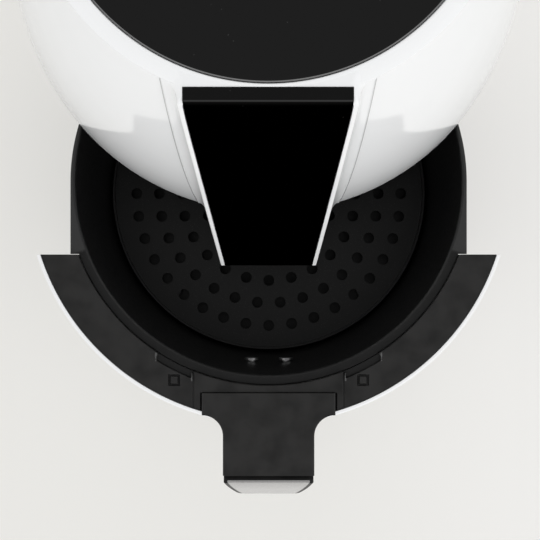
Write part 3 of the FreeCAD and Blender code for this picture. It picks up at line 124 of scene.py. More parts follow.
# Sloping front tongue
TONGUE_HEAD_REACH = 97.74 * MM
TONGUE_HEAD_HALF = 36.2 * MM
TONGUE_FOOT_HALF = 25.5 * MM
SLOPE = math.atan2(TONGUE_REACH - TONGUE_HEAD_REACH, CROWN_HEIGHT - LIP_HEIGHT)
TAPER_END = 0.985
TAPER_SOFT = 0.08
SEAM_HEAD_HALF = 42.6 * MM
SEAM_FOOT_HALF = 37.6 * MM
SEAM_STEP = 0.5 * MM
SEAM_LINE = 0.7 * MM
WALL_HEAD_TOE = 2.0 * MM
WALL_FOOT_TOE = 0.6 * MM
WALL_HEAD_LEAN = 0.05
WALL_FOOT_LEAN = 0.24
WALL_HEAD_PULL = 0.8
WALL_FOOT_PULL = 0.9
BORDER_EDGE = 0.9 * MM
TONGUE_SINK = 1.4 * MM
TONGUE_LIFT = 2.0 * MM
TONGUE_ROLL = 4.0 * MM
TONGUE_ROWS = 90
ROLL_ROWS = 12
BED_STEPS = 3
BORDER_STEPS = 6
WALL_STEPS = 22
BACK_STEPS = 12

# Black panel on the tongue
PANEL_FOOT_HALF = 23.1 * MM
PANEL_THICK = 1.6 * MM
PANEL_GAP = 0.25 * MM
PANEL_BED = 1.8 * MM
PANEL_EDGE = 0.4 * MM
PANEL_ROWS = 40
STRIP_SHORT = 0.3 * MM
STRIP_ROWS = 4
FOLD_RADIUS = 1.0 * MM
FOLD_STEPS = 9

# Drawer front with its crescent
DRAWER_END = 39.3 * MM
TRIM_OUTER = 128.165 * MM
TRIM_INNER = 109.365 * MM
TRIM_WALL = 2.5 * MM
TRIM_PLATE = 2.6 * MM
TRIM_EDGE = 0.7 * MM
TRIM_RIM = 0.3 * MM
TRIM_COLUMNS = 720
FACE_STEPS = 74
FRONT_INSET = 1.6 * MM
FRONT_WALL = 2.0 * MM
FRONT_LIP = 4.3 * MM
FRONT_EDGE = 0.8 * MM
FRONT_SHOULDER = 1.2 * MM
FRONT_COLUMNS = 260
FRONT_STEPS = 60

# Pan. Its flange mark is 1 where painted light makes the coat paler along the rails and -1 where
# painted shade makes it darker under the crescent's edge.
PAN_TOP_RADIUS = 103.765 * MM
PAN_DRAFT = 5.2 * MM
PAN_CORNER = 8.0 * MM
PAN_WALL = 1.2 * MM
PAN_FILLET = 0.4 * MM
PAN_RIM = 1.6 * MM
PAN_COLUMNS = 288
CORNER_STEPS = 9
FLANGE_HALF = 106.465 * MM
FLANGE_NOSE = 109.065 * MM
FLANGE_STEP = 39.0 * MM
RAIL_LIGHT = 1.0
NOSE_SHADE = (-0.5, -1.0, -1.0)

# Relief on the crescent. The bands run between two angles from straight ahead, in degrees.
BAND_WIDTH = 3.7 * MM
BAND_FROM = 21.4
BAND_TO = 32.6
BAND_DEEP = 1.6 * MM
INSERT_HALF = 40.3 * MM
INSERT_LINE = 0.3 * MM
INSERT_DEEP = 0.5 * MM
RIB_PLACES = ((60.3 * MM, 94.0 * MM), (41.1 * MM, 104.7 * MM))
RIB_LONG = 2.4 * MM
RIB_HALF = 0.45 * MM
RIB_HIGH = 0.5 * MM
CLIP_X = 50.6 * MM
CLIP_AHEAD = 106.5 * MM
CLIP_HALF = 3.1 * MM
CLIP_TAB = 1.9 * MM
CLIP_DEEP = 1.1 * MM
ROOT_LINE = 0.5 * MM
ROOT_DEEP = 1.3 * MM
RELIEF_SOFT = 0.25 * MM

# Handle
ROOT_SET = 1.0 * MM
ROOT_BACK = HANDLE_BACK + ROOT_SET
ROOT_FRONT = 125.277 * MM
STEM_HALF = 24.5 * MM
STEM_EDGE = 0.9 * MM
STEM_SHORT = 2.5 * MM
HOLLOW_STEPS = 14
UNDERSIDE_PROUD = 0.3 * MM
SLAB_THICK = 7.0 * MM
SLAB_EDGE = 0.7 * MM
SLAB_TOP = 3.2 * MM
GRIP_LONG = 50.0 * MM
GRIP_SIDE_RADIUS = 150.0 * MM
GRIP_RISE = 15.5 * MM
GRIP_STRAIGHT = 28.5 * MM
GRIP_BEND = 50.0 * MM
GRIP_SIDE_STEPS = 30
GRIP_END_STEPS = 24
COVER_BORDER = 2.4 * MM
COVER_TOP = 0.4 * MM
COVER_PROUD = 0.2 * MM
COVER_THICK = 1.2 * MM
COVER_EDGE = 0.3 * MM
SHIELD_SHADE_FADE = 18.0 * MM

# Camera, straight above the front of the housing
CAMERA_X = 0.75 * MM
CAMERA_AHEAD = 162.6 * MM
CAMERA_HEIGHT = 735.2 * MM
FOCAL_PIXELS = 1102.4
FRAME_PIXELS = 540
SENSOR_WIDTH = 36.0

# Floor and light. The gloss sees a dim sky between two angles from straight up.
FLOOR_TONE = (0.81, 0.802, 0.775)
# Painted light: the floor's tone is paler towards the right.
FLOOR_TONE_RIGHT = (0.85, 0.842, 0.822)
FLOOR_REACH = 4.0
FLOOR_FADE = (0.02, 0.16)
FLOOR_GLOW = 0.6
SKY_LIGHT = 0.95
SEEN_LIGHT = 0.8
MIRRORED_LIGHT = 0.29
DIM_FROM = math.radians(38)
DIM_FULL = math.radians(16)
KEY_LIGHT = 0.6
KEY_WAY = (0.45, -0.88, 0.1)


# Shapes


def skin_radius(height, inset=0.0):
    """Radius of the egg at a height: the belly's radius less what its arc has drawn in by then."""
    rise = height - BELLY_HEIGHT
    arc_radius = np.where(rise > 0, UPPER_ARC, LOWER_ARC)
    return BELLY_RADIUS - arc_radius + np.sqrt((arc_radius - inset) ** 2 - rise**2)


def blend(low, high, share):
    return low + (high - low) * share


def soft_step(value):
    """0 below zero and 1 above the relief's softness, with a smooth rise between: 3 t^2 - 2 t^3."""
    share = np.clip(value / RELIEF_SOFT, 0, 1)
    return share * share * (3 - 2 * share)


def cubic(start, near, far, end, way):
    """A curve from start to end, drawn to two pulls: the sum of the four with cubic weights."""
    back = 1 - way
    return back**3 * start + 3 * back**2 * way * near + 3 * back * way**2 * far + way**3 * end


def arc(centre, radius, start, end, steps=7):
    """Points round a centre from one angle to another, in degrees."""
    turn = np.radians(np.linspace(start, end, steps))
    return np.stack([centre[0] + radius * np.cos(turn), centre[1] + radius * np.sin(turn)], axis=1)


def rounded(corners, radii, steps=6):
    """A closed outline with each corner turned into an arc that touches both of its sides."""
    corners = np.asarray(corners, float)
    legs = []
    for number, radius in enumerate(radii):
        corner = corners[number]
        if radius == 0:
            legs.append(corner[None])
            continue
        before = corners[number - 1] - corner
        after = corners[(number + 1) % len(corners)] - corner
        before = before / np.linalg.norm(before)
        after = after / np.linalg.norm(after)
        half = np.arccos(before @ after) / 2
        inward = (before + after) / np.linalg.norm(before + after)
        centre = corner + inward * radius / np.sin(half)
        first = corner + before * radius / np.tan(half) - centre
        turn = (np.pi - 2 * half) * np.sign(before[1] * after[0] - before[0] * after[1])
        angles = np.arctan2(first[1], first[0]) + np.linspace(0, turn, steps)
        legs.append(centre + radius * np.stack([np.cos(angles), np.sin(angles)], axis=1))
    return np.concatenate(legs)


def spun(radius, height, turns):
    """Points of (radius, height) turned about the upright axis, by angles from straight ahead."""
    radius, height, turns = np.broadcast_arrays(radius, height, turns)
    return np.stack([radius * np.sin(turns), radius * np.cos(turns), height], axis=-1)


def spun_round(profile):
    """A profile turned right round the upright axis in even steps."""
    turns = np.linspace(0, 2 * np.pi, ROUND_COLUMNS, endpoint=False)[:, None]
    return spun(profile[:, 0], profile[:, 1], turns)


def spun_front(profile, columns):
    """A profile turned only as far as the upright plane at the drawer's end lets each point go."""
    share = np.linspace(-1, 1, columns)[:, None]
    return spun(profile[:, 0], profile[:, 1], share * np.arccos(DRAWER_END / profile[:, 0]))


def bar(path, normals, halves, thick, edge):
    """A flat bar: a rounded oblong, its outer face on a path in (ahead, z), carried along it.

    The oblong is first drawn 1 m to each side. Along the path its points keep their distance
    from the sides, which come in to the half width at each place.
    """
    margin = 1 - BAR_MARGIN * edge
    across = [-1, -margin, margin, 1, 1, margin, -margin, -1]
    corners = np.stack([across, np.repeat([-thick, 0], 4)], axis=1)
    outline = rounded(corners, [edge, 0, 0, edge] * 2)
    inset = 1 - np.abs(outline[:, 0])
    x = np.sign(outline[:, 0]) * np.maximum(np.maximum(halves, edge)[:, None] - inset, 0)
    depth = outline[:, 1]
    ahead = path[:, :1] + normals[:, :1] * depth
    height = path[:, 1:] + normals[:, 1:] * depth
    return np.stack([x, ahead, height], axis=-1)


def skin(name, points, axis_y, looped=True, ring=False, **marks):
    """A closed skin over a grid of (x, ahead, z).

    Each row is a section, which closes on itself if looped. Row joins row, and the last joins
    the first in a ring, or else both ends get a flat face. Points that fall together, as at a
    pole, become one. Marks are values at the points that a finish can read.
    """
    grid = points.shape[:2]
    index = np.arange(grid[0] * grid[1]).reshape(grid)
    here, there = (index, np.roll(index, -1, axis=0)) if ring else (index[:-1], index[1:])
    if looped:
        corners = [here, np.roll(here, -1, axis=1), np.roll(there, -1, axis=1), there]
    else:
        corners = [here[:, :-1], here[:, 1:], there[:, 1:], there[:, :-1]]
    faces = np.stack(corners, axis=-1).reshape(-1, 4).tolist()
    if looped and not ring:
        faces += [index[0].tolist(), index[-1].tolist()]
    placed = points * (1, -1, 1) + (0, axis_y, 0)
    mesh = bpy.data.meshes.new(name)
    mesh.from_pydata(placed.reshape(-1, 3).tolist(), [], faces)
    for mark, values in marks.items():
        layer = mesh.attributes.new(mark, "FLOAT", "POINT")
        values = np.broadcast_to(values, grid).ravel()
        layer.data.foreach_set("value", values.astype(np.float32))
    work = bmesh.new()
    work.from_mesh(mesh)
    bmesh.ops.remove_doubles(work, verts=work.verts, dist=MERGE_WITHIN)
    bmesh.ops.recalc_face_normals(work, faces=work.faces)
    work.to_mesh(mesh)
    work.free()
    mesh.polygons.foreach_set("use_smooth", np.ones(len(mesh.polygons), bool))
    mesh.set_sharp_from_angle(angle=SHARP_ANGLE)
    piece = bpy.data.objects.new(name, mesh)
    bpy.context.scene.collection.objects.link(piece)
    return piece


def soften(piece, width):
    """Rounds the edges that are still sharp."""
    bevel = piece.modifiers.new("edges", "BEVEL")
    bevel.limit_method = "ANGLE"
    bevel.angle_limit = SHARP_ANGLE
    bevel.width = width
    bevel.segments = EDGE_SEGMENTS
    bevel.harden_normals = True
    return piece


def fit(piece, body, slot, node, look=None):
    """Lets a piece ride on a body in place of a node, with its slot's finish or one of its own."""
    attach(piece, body)
    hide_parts(node)
    piece.data.materials.append(finishes[look or slot])


# Materials


class Shade:
    """A socket among a material's nodes. Sums and products of shades add Math nodes."""

    def __init__(self, tree, socket=None):
        self.tree = tree
        self.socket = socket

    def node(self, kind, settings, inputs, output=0):
        """Any other node: its settings come first, then values or links for its sockets."""
        made = self.tree.nodes.new(f"ShaderNode{kind}")
        for name, value in settings.items():
            setattr(made, name, value)
        for key, value in inputs.items():
            if isinstance(value, Shade):
                self.tree.links.new(value.socket, made.inputs[key])
            else:
                made.inputs[key].default_value = value
        return Shade(self.tree, made.outputs[output])

    def math(self, operation, *values):
        return self.node("Math", {"operation": operation}, dict(enumerate(values)))

    def __add__(self, other):
        return self.math("ADD", self, other)

    __radd__ = __add__

    def __sub__(self, other):
        return self.math("SUBTRACT", self, other)

    def __rsub__(self, other):
        return self.math("SUBTRACT", other, self)

    def __mul__(self, other):
        return self.math("MULTIPLY", self, other)

    __rmul__ = __mul__

    def ramp(self, start, end):
        """0 at the start and 1 at the end, which may be the lower, and level beyond them."""
        return self.node("MapRange", {}, {"Value": self, "From Min": start, "From Max": end})

    def along(self, axis):
        """How far this place lies along X, Y or Z."""
        return self.node("SeparateXYZ", {}, {0: self}, axis)

    def stretched(self, x, y, z):
        """This place with each axis drawn out by its own factor."""
        return self.node("Mapping", {}, {"Vector": self, "Scale": (1 / x, 1 / y, 1 / z)})

    def noise(self, grain, detail=2.0):
        """Soft noise on this place, with lumps of about the given grain in metres."""
        return self.node("TexNoise", {}, {"Vector": self, "Scale": 1 / grain, "Detail": detail})

    def cells(self, grain, feature="F1", output="Distance"):
        """Distance to the nearest of many scattered points, or to the edge of its cell."""
        spread = {"Vector": self, "Scale": 1 / grain}
        return self.node("TexVoronoi", {"feature": feature}, spread, output)

    def cell_tones(self, grain):
        """A tone of its own for the cell round each of many scattered points."""
        return self.node("RGBToBW", {}, {0: self.cells(grain, output="Color")})

    def mark(self, name):
        """A value that a piece carries at its own points, or 0 on pieces without it."""
        return self.node("Attribute", {"attribute_name": name}, {}, "Fac")

    def ray(self, kind):
        """1 for one kind of ray and 0 for the others."""
        return self.node("LightPath", {}, {}, kind)

    def colour(self, low, high):
        """One colour where the shade is 0 and another where it is 1: shades or three numbers."""
        low, high = (end if isinstance(end, Shade) else (*end, 1) for end in (low, high))
        return self.node("Mix", {"data_type": "RGBA"}, {0: self, 6: low, 7: high}, 2)

    def bump(self, height, rise):
        """A surface normal that follows a shade as relief of the given height in metres."""
        return self.node("Bump", {}, {"Height": height, "Distance": rise})


def finish(name, fixed, dress):
    """A material: fixed sockets are set on its shader, and dress(place) gives those that vary."""
    made = bpy.data.materials.new(name)
    made.use_nodes = True
    tree = made.node_tree
    shader = tree.nodes["Principled BSDF"]
    for socket, value in fixed.items():
        shader.inputs[socket].default_value = value
    place = Shade(tree).node("TexCoord", {}, {}, "Object")
    for socket, shade in dress(place).items():
        tree.links.new(shade.socket, shader.inputs[socket])
    return made


def grey(level, warmth=0.0):
    return (level * (1 + warmth), level, level * (1 - warmth))


def white_shell(place):
    """Gloss white plastic: faint flow marks in its tone, a face not quite flat, painted seam
    shadows.
    """
    tone = place.noise(40 * MM).colour(grey(0.835, warmth=-0.008), grey(0.855, warmth=-0.008))
    return {
        # The seam mark paints a grey shadow line along the joint, in place of a modelled gap.
        "Base Color": place.mark("seam").colour(tone, grey(0.28)),
        "Roughness": 0.05 + 0.06 * place.noise(6 * MM, detail=4.0),
        "Normal": place.bump(place.noise(9 * MM), 0.012 * MM),
    }


def shield_white(place):
    """Pearl white on the handle's end: greyer than the body, paler downwards by painted shade, a
    fine sparkle.
    """
    sparkle = place.cell_tones(0.5 * MM)
    # Painted shade: darker towards the top of the shield, lighter lower down.
    pale = place.along("Z").ramp(HANDLE_HIGH, HANDLE_HIGH - SHIELD_SHADE_FADE)
    tone = 0.75 * pale + 0.25 * sparkle
    return {
        "Base Color": tone.colour(grey(0.25, warmth=0.015), grey(0.47, warmth=0.015)),
        "Roughness": 0.16 + 0.1 * sparkle,
        "Normal": place.bump(place.noise(9 * MM), 0.012 * MM),
    }


def black_gloss(place):
    """Polished black: wiped smears, a few specks of dust, a painted highlight as a pale matt edge
    line.
    """
    ground = place.mark("ground")
    specks = place.cells(7 * MM).ramp(0.05, 0.02)
    smears = place.stretched(1, 3, 1).noise(14 * MM, detail=5.0).ramp(0.45, 0.75)
    return {
        # Painted highlight: the marked rounded edge gets a pale base colour.
        "Base Color": ground.colour(specks.colour(grey(0.002), grey(0.02)), grey(0.14)),
        "Roughness": 0.02 + 0.05 * smears + 0.3 * specks + 0.4 * ground,
        "Normal": place.bump(place.noise(30 * MM), 0.01 * MM),
    }


def touch_film(place):
    """A black touch panel under a film that shines face on and loses its gloss at a slant.

    It has a few specks of dust.
    """
    specks = place.cells(9 * MM).ramp(0.05, 0.02)
    return {
        "Base Color": specks.colour(grey(0.03), grey(0.05)),
        "Roughness": 0.04 + 0.05 * place.noise(14 * MM, detail=5.0) + 0.3 * specks,
        "Normal": place.bump(place.noise(30 * MM), 0.01 * MM),
    }


def black_plastic(place):
    """Satin black plastic with the fine grain of an etched mould and a patchy tone.

    It has painted shade, darker in recesses, and painted highlights, paler on ribs.
    """
    grain = place.noise(0.45 * MM, detail=3.0)
    patches = place.noise(12 * MM, detail=4.0)
    recess = place.mark("recess")
    # Painted shade: the sunk relief darkens the tone.
    pale = (patches - 0.4 * recess).ramp(0.2, 0.6)
    tone = pale.colour(grey(0.002, warmth=0.03), grey(0.0135, warmth=0.03))
    return {
        # Painted highlight: raised ribs, with a negative mark, turn paler.
        "Base Color": recess.ramp(0.0, -0.3).colour(tone, grey(0.09)),
        "Roughness": 0.36 + 0.1 * grain + 0.08 * patches,
        "Normal": place.bump(grain, 0.03 * MM),
    }


def nonstick(place):
    """Dark non-stick coat: fine pale flecks over black, with the slight ripple of a sprayed film.

    It has painted light, paler along the rails, and painted shade, darker under the crescent's
    edge.
    """
    flecks = place.cells(1.6 * MM).ramp(0.2, 0.1)
    ripple = place.noise(2.5 * MM)
    wear = place.mark("wear")
    coat = flecks.colour(grey(0.009), grey(0.034))
    # Painted shade darkens the coat under the crescent's edge.
    shaded_coat = wear.ramp(0.0, -1.0).colour(coat, grey(0.001))
    return {
        # Painted light makes the flange paler along the rails.
        "Base Color": wear.ramp(0.0, 1.0).colour(shaded_coat, grey(0.027)),
        "Roughness": 0.3 + 0.15 * ripple + 0.1 * flecks,
        "Normal": place.bump(ripple + 0.3 * flecks, 0.03 * MM),
    }


def dark_sheet(place):
    """Dark grey coated sheet with a dull, slightly mottled face."""
    mottle = place.noise(8 * MM, detail=5.0)
    return {
        "Base Color": mottle.colour(grey(0.035), grey(0.06)),
        "Roughness": 0.4 + 0.25 * mottle,
        "Normal": place.bump(place.noise(1.5 * MM), 0.02 * MM),
    }


def bright_sheet(place):
    """Bright rolled sheet: fine streaks along the way it was rolled."""
    streaks = place.stretched(1, 60, 1).noise(0.6 * MM, detail=3.0)
    return {
        "Base Color": streaks.colour(grey(0.62), grey(0.78)),
        "Roughness": 0.2 + 0.2 * streaks,
        "Normal": place.bump(streaks, 0.01 * MM),
    }


def steel(place):
    """Plain bright steel with a brushed grain."""
    brushed = place.stretched(40, 1, 1).noise(0.4 * MM, detail=3.0)
    return {
        "Base Color": brushed.colour(grey(0.46), grey(0.62)),
        "Roughness": 0.24 + 0.2 * brushed,
        "Normal": place.bump(brushed, 0.008 * MM),
    }


def heater_sheath(place):
    """A heater's tube, darkened unevenly by its own heat."""
    scale = place.noise(6 * MM, detail=6.0)
    return {
        "Base Color": scale.ramp(0.3, 0.7).colour((0.07, 0.062, 0.055), (0.2, 0.17, 0.14)),
        "Roughness": 0.4 + 0.3 * scale,
        "Normal": place.bump(place.noise(0.8 * MM), 0.02 * MM),
    }


def ceramic(place):
    """Unglazed white ceramic with small pits."""
    pits = place.cells(1.2 * MM).ramp(0.3, 0.1)
    return {
        "Base Color": pits.colour((0.78, 0.76, 0.7), (0.6, 0.57, 0.5)),
        "Roughness": 0.75 + 0.15 * pits,
        "Normal": place.bump(pits, -0.04 * MM),
    }


def motor_metal(place):
    """Zinc plated steel: a patchwork of flat crystals, each with its own tone."""
    crystals = place.cell_tones(5 * MM)
    return {
        "Base Color": crystals.colour(grey(0.38), grey(0.55)),
        "Roughness": 0.3 + 0.2 * crystals,
    }


def circuit(place):
    """Green laminate with fine copper tracks under its lacquer."""
    copper = place.cells(3 * MM, "DISTANCE_TO_EDGE").ramp(0.08, 0.05)
    return {
        "Base Color": copper.colour((0.012, 0.1, 0.04), (0.04, 0.22, 0.1)),
        "Roughness": 0.35 - 0.1 * copper,
        "Normal": place.bump(copper, 0.04 * MM),
    }


def grey_plastic(place):
    """Plain grey moulded plastic with a fine grain."""
    grain = place.noise(0.5 * MM, detail=3.0)
    return {
        "Base Color": place.noise(6 * MM).colour(grey(0.36), grey(0.43)),
        "Roughness": 0.45 + 0.15 * grain,
        "Normal": place.bump(grain, 0.02 * MM),
    }


def rubber(place):
    """Matt black rubber, a little dusty."""
    dust = place.noise(3 * MM, detail=6.0).ramp(0.5, 0.8)
    return {
        "Base Color": dust.colour(grey(0.018), grey(0.04)),
        "Roughness": 0.7 + 0.2 * dust,
        "Normal": place.bump(place.noise(0.6 * MM, detail=3.0), 0.05 * MM),
    }


# What is the same all over each finish
METAL = {"Metallic": 1.0}
FIXED = {
    white_shell: {"IOR": 1.5},
    shield_white: {"IOR": 1.5},
    black_gloss: {"IOR": 1.5},
    touch_film: {**METAL, "Specular Tint": (0, 0, 0, 1)},
    black_plastic: {"Specular IOR Level": 0.35},
    nonstick: {"Specular IOR Level": 0.35},
    dark_sheet: {"IOR": 1.45},
    bright_sheet: METAL,
    steel: METAL,
    heater_sheath: METAL,
    ceramic: {"IOR": 1.5},
    motor_metal: METAL,
    circuit: {"IOR": 1.5},
    grey_plastic: {"IOR": 1.46},
    rubber: {"IOR": 1.45},
}
finishes = {}
for dress, fixed in FIXED.items():
    finishes[dress.__name__] = finish(dress.__name__, fixed, dress)

for part in frame["record"]["subparts"]:
    mesh = frame["nodes"][part["node"]].data
    mesh.materials.clear()
    mesh.materials.append(finishes[part["material_slot"]])


# Pieces on the housing


def crown_ring():
    """The white ring: a rounded section, sloping up and in to the glass, turned right round."""
    rim = CROWN_RADIUS + RING_PROUD
    seat = DISC_LOW - GLASS_SINK
    corners = [
        (rim, CROWN_HEIGHT),
        (rim, CROWN_HEIGHT + RING_STEP),
        (RING_INNER, DISC_HIGH),
        (RING_INNER, seat),
        (RING_LEDGE, seat),
        (RING_LEDGE, RING_LOW),
        (RING_SPIGOT, RING_LOW),
        (RING_SPIGOT, CROWN_HEIGHT),
    ]
    outline = rounded(corners, [0, RING_EDGE, RING_ROUND, 0, 0, 0, 0, 0])
    piece = skin("crown_ring", spun_round(outline), HOUSING_Y, ring=True)
    fit(piece, "housing", "white_shell", "top_bezel")


def top_glass():
    """The round gloss top: a flat disc, a little below the ring, its upper edge rounded.

    The rounded edge carries its own mark, for a painted highlight.
    """
    low = DISC_LOW - GLASS_SINK
    high = DISC_HIGH - GLASS_SINK
    edge_start = GLASS_RADIUS - GLASS_EDGE
    edge = arc((edge_start, high - GLASS_EDGE), GLASS_EDGE, 90, 0)
    flat = [(0, high), (edge_start - EDGE_HIGHLIGHT_FADE, high)]
    profile = np.concatenate([flat, edge, [(GLASS_RADIUS, low), (0, low)]])
    # Marks the rounded edge, where the finish paints a highlight.
    ground = np.zeros(len(profile))
    ground[len(flat) : len(flat) + len(edge)] = 1.0
    points = spun_round(profile)
    piece = skin("top_glass", points, HOUSING_Y, looped=False, ring=True, ground=ground)
    fit(piece, "housing", "black_gloss", "top_panel")


def taper(share):
    """The share of its head's width that the tongue has at a share of its height.

    It is the lesser of a straight rise and 1, with the corner between them made soft.
    """
    level = share / TAPER_END
    return (level + 1 - np.sqrt((level - 1) ** 2 + TAPER_SOFT**2)) / 2


def tongue_side(height, drawn):
    """The right half of the tongue's outline at each height, drawn in by a given amount.

    It goes from the middle of the panel's bed over the border to the seam, and back inside the
    housing's skin. The side wall is a cubic curve from the border to the seam. Its two pulls
    lie on the way to the toe, where the wall's straight run would meet the skin.
    """
    share = (height - LIP_HEIGHT) / (CROWN_HEIGHT - LIP_HEIGHT)
    reach = blend(TONGUE_REACH, TONGUE_HEAD_REACH, share) - drawn
    half = blend(TONGUE_FOOT_HALF, TONGUE_HEAD_HALF, taper(share)) - drawn
    bed_half = blend(PANEL_FOOT_HALF, PANEL_HEAD_HALF, taper(share)) + PANEL_GAP - drawn

    ring_slope = (CROWN_RADIUS - RING_INNER) / (DISC_HIGH - CROWN_HEIGHT)
    over_crown = np.maximum(height - CROWN_HEIGHT, 0)
    skin_at = skin_radius(np.minimum(height, CROWN_HEIGHT)) - ring_slope * over_crown
    seam_half = blend(SEAM_FOOT_HALF, SEAM_HEAD_HALF, np.minimum(share, 1))
    seam_half = seam_half * np.minimum(skin_at / CROWN_RADIUS, 1)
    seam_ahead = np.sqrt(skin_at**2 - seam_half**2)

    toe_ahead = seam_ahead + blend(WALL_FOOT_TOE, WALL_HEAD_TOE, share)
    toe_half = half + blend(WALL_FOOT_LEAN, WALL_HEAD_LEAN, share) * (reach - toe_ahead)
    pull = blend(WALL_FOOT_PULL, WALL_HEAD_PULL, share)
    way = np.linspace(0, 1, WALL_STEPS)[1:-1]

    def wall(border, toe, seam):
        return cubic(border, blend(border, toe, pull), blend(seam, toe, pull), seam, way)

    bed = bed_half * np.linspace(0, 1, BED_STEPS)
    border = arc((-BORDER_EDGE, -BORDER_EDGE), BORDER_EDGE, 90, 0, BORDER_STEPS)
    back_half = seam_half * np.linspace(1, 0, BACK_STEPS)
    back_ahead = np.sqrt((skin_at - TONGUE_SINK) ** 2 - back_half**2)
    legs = [
        (bed, np.broadcast_to(reach - PANEL_BED, bed.shape)),
        (bed_half, reach),
        (half + border[:, 0], reach + border[:, 1]),
        (
            wall(half, toe_half, seam_half),
            wall(reach - BORDER_EDGE, toe_ahead, seam_ahead + SEAM_STEP),
        ),
        (seam_half - SEAM_LINE, seam_ahead + SEAM_STEP + SEAM_LINE / 2),
        (seam_half, seam_ahead + SEAM_STEP),
        (back_half, back_ahead),
    ]
    x, ahead = (np.concatenate(parts, axis=1) for parts in zip(*legs))
    return x, ahead


def tongue_frame():
    """The white tongue: at each height one outline, its right half mirrored to the left.

    Near the top the outline draws in along a quarter circle, so the shoulder rolls over. The
    seam's mark, for a painted shadow line, covers the step to the housing, up to the crown.
    """
    top = CROWN_HEIGHT + TONGUE_LIFT
    roll = np.radians(np.linspace(0, 90, ROLL_ROWS))[1:]
    straight = np.linspace(LIP_HEIGHT, top - TONGUE_ROLL, TONGUE_ROWS)
    height = np.concatenate([straight, top - TONGUE_ROLL * (1 - np.sin(roll))])[:, None]
    drawn = np.concatenate([np.zeros(TONGUE_ROWS), TONGUE_ROLL * (1 - np.cos(roll))])[:, None]
    x, ahead = tongue_side(height, drawn)
    # Marks the seam for a painted shadow line in the joint.
    seam = np.zeros(x.shape)
    seam[:, -BACK_STEPS - 1 :] = height < CROWN_HEIGHT

    def whole(right, sign=1):
        return np.concatenate([right, sign * right[:, -2:0:-1]], axis=1)

    outline = np.broadcast_arrays(whole(x, -1), whole(ahead), height)
    piece = skin("tongue_frame", np.stack(outline, axis=-1), HOUSING_Y, seam=whole(seam))
    fit(soften(piece, BORDER_EDGE / 2), "housing", "white_shell", "front_bezel")


def front_glass():
    """The black panel: a flat bar that runs forward over the crown and then down the slope.

    It folds in a small arc that touches both runs.
    """
    fold_ahead = TONGUE_HEAD_REACH - (PANEL_TOP - CROWN_HEIGHT) * math.tan(SLOPE)
    run = FOLD_RADIUS * math.tan((math.pi / 2 - SLOPE) / 2)
    centre = np.array([fold_ahead - run, PANEL_TOP - FOLD_RADIUS])
    folded = arc((0, 0), 1, 90, math.degrees(SLOPE), FOLD_STEPS)
    fold = centre + FOLD_RADIUS * folded
    back = (STRIP_BACK + STRIP_SHORT, PANEL_TOP)
    level = np.linspace(back, (fold_ahead - run, PANEL_TOP), STRIP_ROWS)[:-1]
    down = np.linspace(fold[-1], (TONGUE_REACH, LIP_HEIGHT), PANEL_ROWS)[1:]
    path = np.concatenate([level, fold, down])
    normals = np.concatenate([[(0, 1)] * len(level), folded, [folded[-1]] * len(down)])
    share = (path[:, 1] - LIP_HEIGHT) / (CROWN_HEIGHT - LIP_HEIGHT)
    halves = blend(PANEL_FOOT_HALF, PANEL_HEAD_HALF, taper(share))
    piece = skin("front_glass", bar(path, normals, halves, PANEL_THICK, PANEL_EDGE), HOUSING_Y)
    fit(soften(piece, PANEL_EDGE), "housing", "black_gloss", "front_panel", look="touch_film")


# Pieces on the drawer


def crescent_relief(x, ahead):
    """How far the crescent's face is sunk at a place, with a soft step at each edge.

    The deepest counts of the bands by the ring, the insert's joints, the clips and the handle's
    root. Small ribs with a round section stand up at the ends of the bands.
    """
    aside = np.abs(x)
    turn = np.degrees(np.arctan2(aside, ahead))
    degree = np.radians(1) * TRIM_INNER
    inner = 1 - soft_step(np.hypot(x, ahead) - TRIM_INNER - BAND_WIDTH)
    ends = soft_step((turn - BAND_FROM) * degree) * soft_step((BAND_TO - turn) * degree)
    joint = 1 - soft_step(np.abs(aside - INSERT_HALF) - INSERT_LINE)
    across = np.maximum(np.abs(aside - CLIP_X), np.abs(ahead - CLIP_AHEAD))
    clip = soft_step(CLIP_HALF - across) * soft_step(across - CLIP_TAB)
    root = 1 - soft_step(np.maximum(aside - ROOT_HALF - ROOT_LINE, ROOT_BACK - ahead))
    depths = BAND_DEEP * inner * ends, INSERT_DEEP * joint, CLIP_DEEP * clip, ROOT_DEEP * root
    sunk = np.maximum.reduce(depths)
    for rib_x, rib_ahead in RIB_PLACES:
        offset = (aside - rib_x) / RIB_HALF
        within = soft_step(RIB_LONG - np.abs(ahead - rib_ahead))
        rib = within * np.sqrt(np.clip(1 - offset**2, 0, 1))
        sunk = blend(sunk, -RIB_HIGH, rib)
    return sunk


def crescent():
    """The black crescent and its wall down the pan's front.

    One section is turned to the drawer's end on both sides, and its upper face gets the relief.
    """
    outer = arc((TRIM_OUTER - TRIM_RIM, TRIM_HIGH - TRIM_RIM), TRIM_RIM, 0, 90)
    inner = arc((TRIM_INNER + TRIM_EDGE, TRIM_HIGH - TRIM_EDGE), TRIM_EDGE, 90, 180)
    face = np.linspace(outer[-1], inner[0], FACE_STEPS)[1:-1]
    upper = np.concatenate([outer, face, inner])
    below = [
        (TRIM_INNER, TRIM_LOW),
        (TRIM_INNER + TRIM_WALL, TRIM_LOW),
        (TRIM_INNER + TRIM_WALL, TRIM_HIGH - TRIM_PLATE),
        (TRIM_OUTER, TRIM_HIGH - TRIM_PLATE),
    ]
    points = spun_front(np.concatenate([upper, below]), TRIM_COLUMNS)
    top = points[:, : len(upper)]
    sunk = crescent_relief(top[..., 0], top[..., 1])
    top[..., 2] -= sunk
    # The relief is kept as a mark for painted shade in the recesses and painted highlights on the
    # ribs.
    recess = np.zeros(points.shape[:2])
    recess[:, : len(upper)] = sunk / BAND_DEEP
    piece = skin("crescent", points, DRAWER_Y, recess=recess)
    fit(soften(piece, TRIM_EDGE / 2), "drawer", "black_plastic", "drawer_trim")


